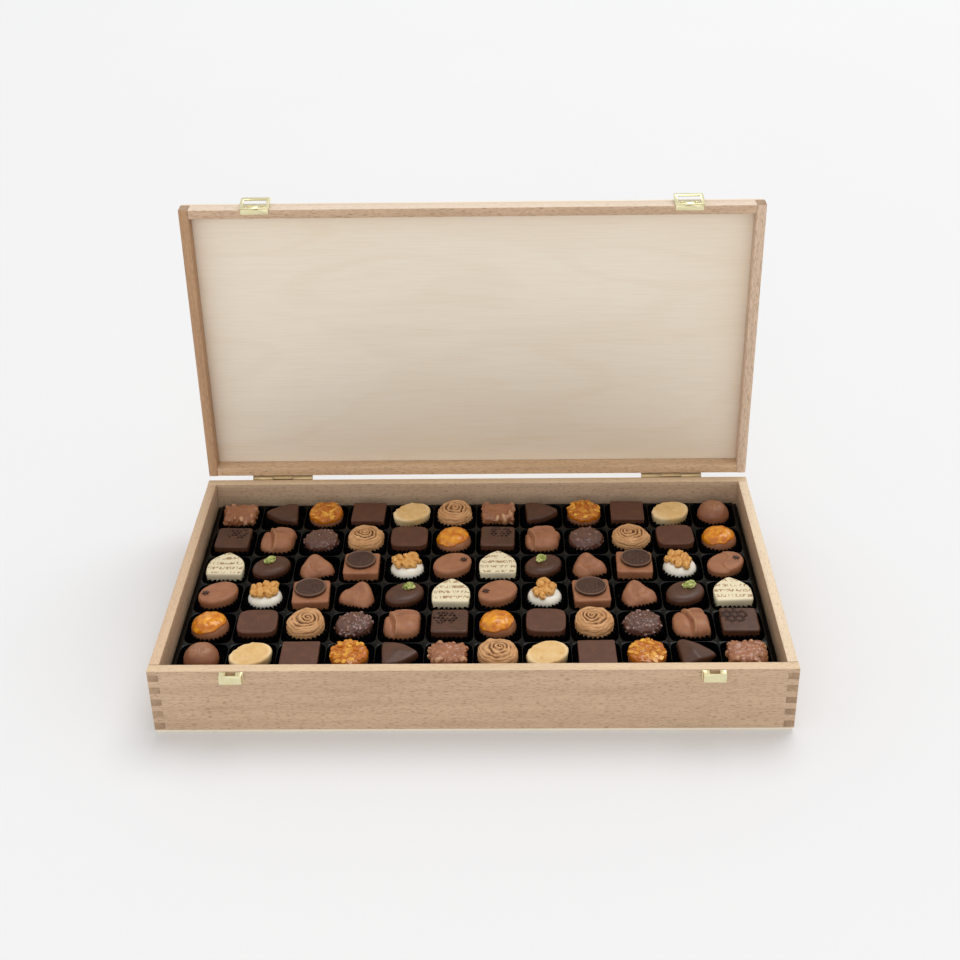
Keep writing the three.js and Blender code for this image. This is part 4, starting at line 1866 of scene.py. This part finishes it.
@dataclass
class Walnut(Praline):
    """White oval that carries half a roasted walnut."""

    length: float = 25.6
    width: float = 23.2
    slot: str = "white_chocolate"
    finishes: tuple[Finish, ...] = (WHITE, WALNUT)
    lobe: float = 3.4
    turns: ClassVar[dict[str, float]] = {"r3c5": 28, "r3c11": -35, "r4c2": 12, "r4c8": 62}

    def model(self, form: PralineForm) -> None:
        """A glossy oval, and the kernel's two rows of lobes with the gap between them.

        Args:
            form: The form to make it in.
        """
        corners = [(0, 0, 0), (10.6, 0, 1.4), (12.7, 6, 4), (12.2, 10.6, 3.4), (8.4, 13, 3), (0, 13.5, 0)]
        turned(form, self.outline(), traced(corners, 12.8, 0.9), 64)
        form.settle()
        for side in (-1, 1):
            for along in (-8.0, -3.4, 1.6, 6.6):
                radius = self.lobe * form.draw.uniform(0.75, 1.2)
                away = 4.6 - 0.03 * along**2 + form.draw.uniform(-0.7, 0.7)
                height = 1.7 + form.draw.uniform(-0.7, 1.0)
                place = Matrix.Translation((along + form.draw.uniform(-0.7, 0.7), side * away, height))
                lean = Matrix.Rotation(form.draw.uniform(-0.9, 0.9), 4, "Z")
                lobe = place @ lean @ Matrix.Diagonal((0.78, 1.25, 0.9, 1))
                bmesh.ops.create_icosphere(form.mesh, subdivisions=4, radius=radius, matrix=lobe)
        core = Matrix.Translation((0, 0, 0.8)) @ Matrix.Diagonal((8.6, 5.2, 2.4, 1))
        bmesh.ops.create_icosphere(form.mesh, subdivisions=4, radius=1, matrix=core)

        def wrinkles(place: Vector, _: Vector) -> float:
            """The kernel's folds."""
            fold = 1 - abs(form.fuzz(place, 2.6)) * 2.4
            return 0.7 * fold - 0.3 + 0.35 * form.fuzz(place, 1.0)

        # Partly painted shade, partly the kernel's browner skin: darker low down and in the folds.
        form.painted(lambda place, normal: 0.5 - 0.22 * place.z - 0.45 * wrinkles(place, normal))
        form.pushed(wrinkles)
        turn = Matrix.Rotation(math.radians(self.turns[form.seat.label]), 4, "Z")
        form.settle(1, Matrix.Translation((0.0, 2.0, 12.6)) @ turn)


@dataclass
class Star(Praline):
    """Milk chocolate oval with a small dark star at one end."""

    length: float = 30.4
    width: float = 23
    height: float = 15
    slot: str = "milk_chocolate"
    finishes: tuple[Finish, ...] = (MILK_MATT, DARK)
    loose: bool = False
    turn: float = 31
    star: float = 2.9
    star_height: float = 0.9
    stepped: tuple[str, ...] = ("r3c12",)

    def model(self, form: PralineForm) -> None:
        """A flat-topped oval, with a curved step on one of them, and its star.

        Args:
            form: The form to make it in.
        """
        corners = [(0, 0, 0), (13.1, 0, 0.8), (15.2, 12.8, 1.6), (14.1, 14.8, 1.4), (0, 15, 0)]
        turned(form, self.outline(), traced(corners, 15.2, 0.6), 80)
        if form.seat.label in self.stepped:

            def step(place: Vector) -> Sequence[float]:
                """The left part lies lower, past an edge that bends like an S.

                Args:
                    place: A place on the praline, in millimetres.

                Returns:
                    The new place.
                """
                edge = place.x - 0.2 - 2.6 * math.sin(place.y / 3.4)
                low = smooth(-edge, -0.9, 0.9) * smooth(place.z, 12, 14)
                bead = 0.4 * hump(edge, 0, 0.9, 1) * smooth(place.z, 12, 14)
                return place.x, place.y, place.z - 1.1 * low + bead

            form.moved(step)
        form.uneven(0.12, 5)
        form.settle()
        middle = (8.4, 2.6) if form.seat.row == 3 else (-8.6, -2.0)
        bmesh.ops.create_circle(form.mesh, cap_ends=True, segments=12, radius=self.star)
        form.moved(self.pointed)
        form.painted(lambda place, _: 0.6)
        form.raised(self.star_height)
        turn = Matrix.Rotation(form.draw.uniform(0, 0.4), 4, "Z")
        form.settle(1, Matrix.Translation((*middle, self.height - 0.3)) @ turn)

    @staticmethod
    def pointed(place: Vector) -> Sequence[float]:
        """Every other point of the round drawn in, for a six-pointed star.

        Args:
            place: A place on the praline, in millimetres.

        Returns:
            The new place.
        """
        angle = math.atan2(place.y, place.x)
        share = 1.0 if round(angle / (math.pi / 6)) % 2 == 0 else 0.45
        return place.x * share, place.y * share, place.z


class Kind(Enum):
    """The kinds of praline."""

    HAZELNUT = Hazelnut()
    TRIANGLE = Triangle()
    FLORENTINE = Florentine()
    SQUARE = Square()
    BLONDE = Blonde()
    SWIRL = Swirl()
    DOME = Dome()
    TEXTURED = Textured()
    FOLD = Fold()
    ROUGH = Rough()
    ROUNDED = Rounded()
    ORANGE = Orange()
    HEART = Heart()
    PISTACHIO = Pistachio()
    PEAKS = Peaks()
    DISC = Disc()
    WALNUT = Walnut()
    STAR = Star()


def layout() -> list[list[Kind]]:
    """Which kind is in each cell. The front three rows are the back three turned half round.

    Returns:
        Six rows of twelve, from the back.
    """
    k = Kind
    first = [k.HAZELNUT, k.TRIANGLE, k.FLORENTINE, k.SQUARE, k.BLONDE]
    back = [
        [*first, k.SWIRL, *first, k.DOME],
        [k.TEXTURED, k.FOLD, k.ROUGH, k.SWIRL, k.ROUNDED, k.ORANGE] * 2,
        [k.HEART, k.PISTACHIO, k.PEAKS, k.DISC, k.WALNUT, k.STAR] * 2,
    ]
    return back + [row[::-1] for row in reversed(back)]


@dataclass
class Tray:
    """The moulded black tray with its pockets, the paper cups in them, and the pralines."""

    columns: int = 12
    rows: int = 6
    cell: float = 33.75
    top: float = 37.0
    lift: float = 0.3
    foot: float = 2.6
    half_width: float = 207.6
    half_depth: float = 107.6
    opening: float = 16.62
    opening_power: float = 5.6
    well: float = 14.4
    well_power: float = 6
    gauge: float = 0.6
    flange_drop: float = 5.0
    steps: int = 64
    pleats: int = 28
    pleat_depth: float = 2.0
    floor: float = field(init=False)
    seats: list[tuple[Seat, Kind]] = field(init=False)

    def __post_init__(self) -> None:
        """Reads the pockets' floor from the frame and lists the seats."""
        self.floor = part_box("dome_r6c1")[0].z / MM - self.lift
        self.seats = [
            (Seat(row + 1, column + 1), kind)
            for row, kinds in enumerate(layout())
            for column, kind in enumerate(kinds)
        ]

    def middle(self, seat: Seat) -> Vector:
        """The middle of a cell on the pocket's floor.

        Args:
            seat: The praline's seat.

        Returns:
            The middle, in millimetres.
        """
        x = (seat.column - 1 - (self.columns - 1) / 2) * self.cell
        y = ((self.rows - 1) / 2 - seat.row + 1) * self.cell
        return Vector((x, y, self.floor))

    def build(self) -> None:
        """Makes the tray, the cups and the pralines."""
        self.build_tray()
        self.build_cups()
        for seat, kind in self.seats:
            self.build_praline(seat, kind.value)

    def pocket(self, form: Form) -> None:
        """One cell round its own middle: its share of the ribs, the pocket's walls and floor.

        Args:
            form: The form to make it in.
        """
        half = self.cell / 2
        top, floor = self.top, self.floor
        mouth = oval(self.opening, self.opening, 0, self.opening_power)
        inner = oval(self.well, self.well, 0, self.well_power)

        def square(angle: float) -> float:
            """The cell's own outline, at an angle in radians."""
            return half / max(abs(math.cos(angle)), abs(math.sin(angle)))

        rings: list[tuple[Outline, float, float]] = [
            (square, 1.0, top),
            (mouth, 1.004, top),
            (mouth, 0.996, top - 0.15),
            (mouth, 0.99, top - 0.6),
            (mouth, 0.984, top - 1.5),
            (inner, 1.0, floor + 1.6),
            (inner, 0.985, floor + 0.5),
            (inner, 0.94, floor),
            (inner, 0.5, floor),
        ]
        bmesh.ops.create_circle(form.mesh, cap_ends=False, segments=self.steps, radius=1)
        verts = form.fresh()
        edges = [edge for edge in form.mesh.edges if not edge.verts[0][form.settled]]
        for number, (outline, share, level) in enumerate(rings):
            if number:
                verts, edges = form.extruded(edges)
            for vert in verts:
                angle = math.atan2(vert.co.y, vert.co.x)
                radius = outline(angle) * share
                vert.co = (radius * math.cos(angle), radius * math.sin(angle), level)
        bmesh.ops.contextual_create(form.mesh, geom=edges)

    def build_tray(self) -> None:
        """Pockets in a grid, a lower flange to the box's walls, and a skirt to its floor."""
        form = Form()
        self.pocket(form)
        source = list(form.mesh.verts) + list(form.mesh.edges) + list(form.mesh.faces)
        start = self.middle(self.seats[0][0])
        for seat, _ in self.seats[1:]:
            copy = bmesh.ops.duplicate(form.mesh, geom=source)["geom"]
            verts = [item for item in copy if isinstance(item, BMVert)]
            bmesh.ops.translate(form.mesh, vec=self.middle(seat) - start, verts=verts)
        bmesh.ops.translate(form.mesh, vec=(start.x, start.y, 0), verts=form.mesh.verts)
        bmesh.ops.remove_doubles(form.mesh, verts=form.mesh.verts, dist=0.01)
        half_x, half_y = self.columns * self.cell / 2, self.rows * self.cell / 2
        rim = [edge for edge in form.mesh.edges if edge.is_boundary]
        low = self.top - self.flange_drop
        rings = [
            (0.6, 0.5, self.top - 0.1),
            (1.0, 0.9, self.top - 0.6),
            (1.9, 1.7, low + 0.5),
            (2.4, 2.2, low),
            (self.half_width - half_x - 0.5, self.half_depth - half_y - 0.5, low),
            (self.half_width - half_x, self.half_depth - half_y, low - 0.5),
            (self.half_width - half_x, self.half_depth - half_y, self.foot),
        ]
        reach_x, reach_y = half_x, half_y
        for out_x, out_y, level in rings:
            verts, rim = form.extruded(rim)
            for vert in verts:
                vert.co.x *= (half_x + out_x) / reach_x
                vert.co.y *= (half_y + out_y) / reach_y
                vert.co.z = level
            reach_x, reach_y = half_x + out_x, half_y + out_y
        bmesh.ops.recalc_face_normals(form.mesh, faces=form.mesh.faces)
        if sum(face.normal.z * face.calc_area() for face in form.mesh.faces) < 0:
            bmesh.ops.reverse_faces(form.mesh, faces=form.mesh.faces)
        bmesh.ops.solidify(form.mesh, geom=list(form.mesh.faces), thickness=self.gauge)
        finished("praline_tray", form, [TRAY_BLACK], "box", ["tray"], crease=50)

    def build_cups(self) -> None:
        """A pleated paper cup round every praline, all in one piece."""
        form = Form()
        limit = oval(self.opening, self.opening, 0, self.opening_power)
        for seat, kind in self.seats:
            outline = kind.value.cup_outline(seat)
            bmesh.ops.create_circle(form.mesh, cap_ends=True, segments=2 * self.pleats, radius=1)
            verts = form.fresh()
            edges = [edge for edge in form.mesh.edges if not edge.verts[0][form.settled]]
            rings = [(0.86, 0.0, 0.12), (0.95, 0.25, 0.25), (0.99, 0.75, 4.5), (1.0, 1.0, kind.value.cup)]
            for number, (share, pleat, level) in enumerate(rings):
                if number:
                    verts, edges = form.extruded(edges)
                for vert in verts:
                    angle = math.atan2(vert.co.y, vert.co.x)
                    fold = round(angle / math.pi * self.pleats) % 2
                    radius = outline(angle) * share + 0.15 + pleat * self.pleat_depth * fold
                    radius = min(radius, limit(angle) - 0.1 - 0.5 * (1 - fold))
                    around = Vector((3 * math.cos(angle), 3 * math.sin(angle), seat.row * 9 + seat.column))
                    rise = pleat * (0.6 * noise.noise(around) + 0.45 * (1 - 2 * fold))
                    vert.co = (radius * math.cos(angle), radius * math.sin(angle), level + rise)
            form.settle(0, Matrix.Translation(self.middle(seat)))
        finished("paper_cups", form, [CUP_BLACK], "box", crease=20)

    def build_praline(self, seat: Seat, praline: Praline) -> None:
        """Makes one praline in its place.

        Args:
            seat: Its cell.
            praline: Its kind.
        """
        form = PralineForm(seat)
        praline.model(form)
        kind = type(praline).__name__.lower()
        node = f"{kind}_{seat.label}"
        middle = self.middle(seat)
        middle.z += self.lift
        turn = Matrix.Rotation(math.radians(form.draw.uniform(-3, 3)), 4, "Z")
        size = Matrix.Scale(form.draw.uniform(0.985, 1.0), 4)
        place = Matrix.Translation(middle) @ turn @ size
        bmesh.ops.transform(form.mesh, matrix=place, verts=form.mesh.verts)
        stands_for = [node if praline.loose else "tray"]
        finished(f"praline_{node}", form, praline.finishes, "box", stands_for)


# Wooden box and lid


@dataclass
class Boards:
    """The box's and the lid's boards: copies of the CAD boards with eased arrises, long grain on
    their faces and end grain on their ends."""

    ease: float = 0.5
    sheet_ease: float = 0.3
    shortest: float = 30.0

    def board(
        self, node: str, body: str, along: Axis, face_finish: Finish, rim_finish: Finish | None
    ) -> None:
        """Makes one board.

        Args:
            node: The CAD node.
            body: Its body.
            along: The way that its grain runs.
            face_finish: The wood of its faces.
            rim_finish: The lighter wood of its upper and lower edge, if they differ.
        """
        form = Form.of_node(node)
        form.eased(form.sharp_edges(shortest=self.shortest), self.ease)
        form.mesh.normal_update()
        for face in form.mesh.faces:
            facing = max(range(3), key=lambda axis: abs(face.normal[axis]))
            if facing == along.value:
                face.material_index = 1
            else:
                face.material_index = 2 if rim_finish and facing == Axis.Z.value else 0
        finishes = [face_finish, hardwood("end", along, *END_TONES)]
        if rim_finish:
            finishes.append(rim_finish)
        finished(f"{node}_board", form, finishes, body, [node])

    def sheet(self, node: str, body: str, finish: Finish) -> None:
        """Makes a plywood sheet.

        Args:
            node: The CAD node.
            body: Its body.
            finish: Its finish.
        """
        form = Form.of_node(node)
        form.eased(form.sharp_edges(), self.sheet_ease)
        finished(f"{node}_ply", form, [finish], body, [node])

    def build(self) -> None:
        """Makes every board and sheet."""
        for side, along in (("front", Axis.X), ("back", Axis.X), ("left", Axis.Y), ("right", Axis.Y)):
            rim = hardwood(f"{side}_rim", along, *RIM_TONES[side])
            self.board(f"box_{side}", "box", along, hardwood("face", along, *FACE_TONES), rim)
        for side, along in (("front", Axis.X), ("back", Axis.X), ("left", Axis.Z), ("right", Axis.Z)):
            edge = hardwood("lid_rim", along, *LID_EDGE_TONES) if side == "front" else None
            rail = hardwood(f"{side}_rail", along, *RAIL_TONES[side])
            self.board(f"lid_{side}", "lid", along, rail, edge)
        self.sheet("box_bottom", "box", PLY_BASE)
        self.sheet("lid_panel", "lid", PLYWOOD)


# Brass fittings


@dataclass
class Fittings:
    """The hinges and draw latches."""

    ease: float = 0.18

    def fitting(self, node: str, body: str) -> None:
        """Makes one fitting from its CAD node, with its pressed edges eased.

        Args:
            node: The CAD node.
            body: Its body.
        """
        form = Form.of_node(node)
        form.eased(form.sharp_edges(50), self.ease)
        # Painted shade: the hinges take the darker brass.
        finish = BRASS_HINGE if node.startswith("hinge") else BRASS
        finished(f"{node}_brass", form, [finish], body, [node])

    def build(self) -> None:
        """Makes the fittings on both sides."""
        for side in ("left", "right"):
            for name, body in (
                ("hinge_box", "box"),
                ("catch", "box"),
                ("hinge_lid", "lid"),
                ("latch_plate", "lid"),
                ("latch_ring", f"latch_{side}"),
            ):
                self.fitting(f"{name}_{side}", body)


# Studio


@dataclass
class Studio:
    """The camera of the view, a pale floor and soft light from high behind."""

    image: int = 960
    focal: float = 1421.0
    middle_row: float = 324.0
    sensor: float = 36.0
    place: tuple[float, float, float] = (0.0228, -0.845, 0.6774)
    pitch: float = 26.84
    roll: float = -0.98
    yaw: float = -1.07
    sky: float = 0.78
    key_power: float = 222.0
    key_place: tuple[float, float, float] = (1.6, 3.0, 6.8)
    key_size: float = 5.2
    fill_power: float = 11.5
    fill_place: tuple[float, float, float] = (-0.2, -2.4, 0.9)
    fill_size: float = 2.4

    def camera(self) -> None:
        """Stands the camera where the view is from."""
        pitch, roll, yaw = (math.radians(angle) for angle in (self.pitch, self.roll, self.yaw))
        ahead = Vector((math.sin(yaw) * math.cos(pitch), math.cos(yaw) * math.cos(pitch), -math.sin(pitch)))
        right = Vector((math.cos(yaw), -math.sin(yaw), 0))
        up = right.cross(ahead)
        rolled = math.cos(roll) * right + math.sin(roll) * up
        upright = -math.sin(roll) * right + math.cos(roll) * up
        data = bpy.data.cameras.new("view")
        data.sensor_width = self.sensor
        data.lens = self.focal * self.sensor / self.image
        data.shift_y = (self.middle_row - self.image / 2) / self.image
        data.clip_start, data.clip_end = 0.01, 50
        eye = bpy.data.objects.new("view", data)
        turn = Matrix((rolled, upright, -ahead)).transposed().to_4x4()
        eye.matrix_world = Matrix.Translation(self.place) @ turn
        bpy.context.scene.collection.objects.link(eye)
        bpy.context.scene.camera = eye

    def floor(self) -> None:
        """Lays the floor under the box."""
        mesh = bmesh.new()
        bmesh.ops.create_grid(mesh, x_segments=1, y_segments=1, size=6)
        data = bpy.data.meshes.new("floor")
        mesh.to_mesh(data)
        mesh.free()
        data.materials.append(Paper().material())
        ground = bpy.data.objects.new("floor", data)
        bpy.context.scene.collection.objects.link(ground)

    def light(self) -> None:
        """An even sky, a large soft light high behind the box and a weak fill from the front."""
        world = bpy.data.worlds.new("studio")
        world.use_nodes = True
        world.node_tree.nodes["Background"].inputs["Color"].default_value = (1, 1, 1, 1)
        world.node_tree.nodes["Background"].inputs["Strength"].default_value = self.sky
        bpy.context.scene.world = world
        self.lamp("key", self.key_place, self.key_size, self.key_power)
        self.lamp("fill", self.fill_place, self.fill_size, self.fill_power)
        bpy.context.scene.view_settings.view_transform = "Standard"

    def lamp(self, name: str, place: Sequence[float], size: float, power: float) -> None:
        """Hangs a round soft light that points at the box.

        Args:
            name: Its name.
            place: Where it hangs.
            size: Its diameter.
            power: Its power in watts.
        """
        data = bpy.data.lights.new(name, "AREA")
        data.shape = "DISK"
        data.size = size
        data.energy = power
        lamp = bpy.data.objects.new(name, data)
        lamp.location = place
        lamp.rotation_mode = "QUATERNION"
        lamp.rotation_quaternion = (-lamp.location).to_track_quat("-Z", "Y")
        bpy.context.scene.collection.objects.link(lamp)

    def build(self) -> None:
        """Sets up the studio."""
        self.camera()
        self.floor()
        self.light()


@dataclass(frozen=True)
class Paper(Finish):
    """A roll of white background paper: matt, with the faintest mottle."""

    name: str = "white_background_paper"
    tone: str = "#e8e8e8"
    deep: str = "#e6e6e7"
    mottle: float = 1000 / 3

    def dress(self, nodes: Nodes) -> Sockets:
        """A slow mottle.

        Args:
            nodes: The material's nodes.

        Returns:
            What goes into the shader's sockets.
        """
        colour = self.toned(nodes, nodes.mottle([self.mottle] * 3))
        return {"Base Color": colour, "Roughness": 1.0, "Specular IOR Level": 0.0}


def main() -> None:
    """Makes the box of pralines in its studio."""
    logging.basicConfig(level=logging.INFO, format="%(message)s")
    for part in (Studio(), Boards(), Fittings(), Tray()):
        part.build()


if __name__ == "__main__":
    main()
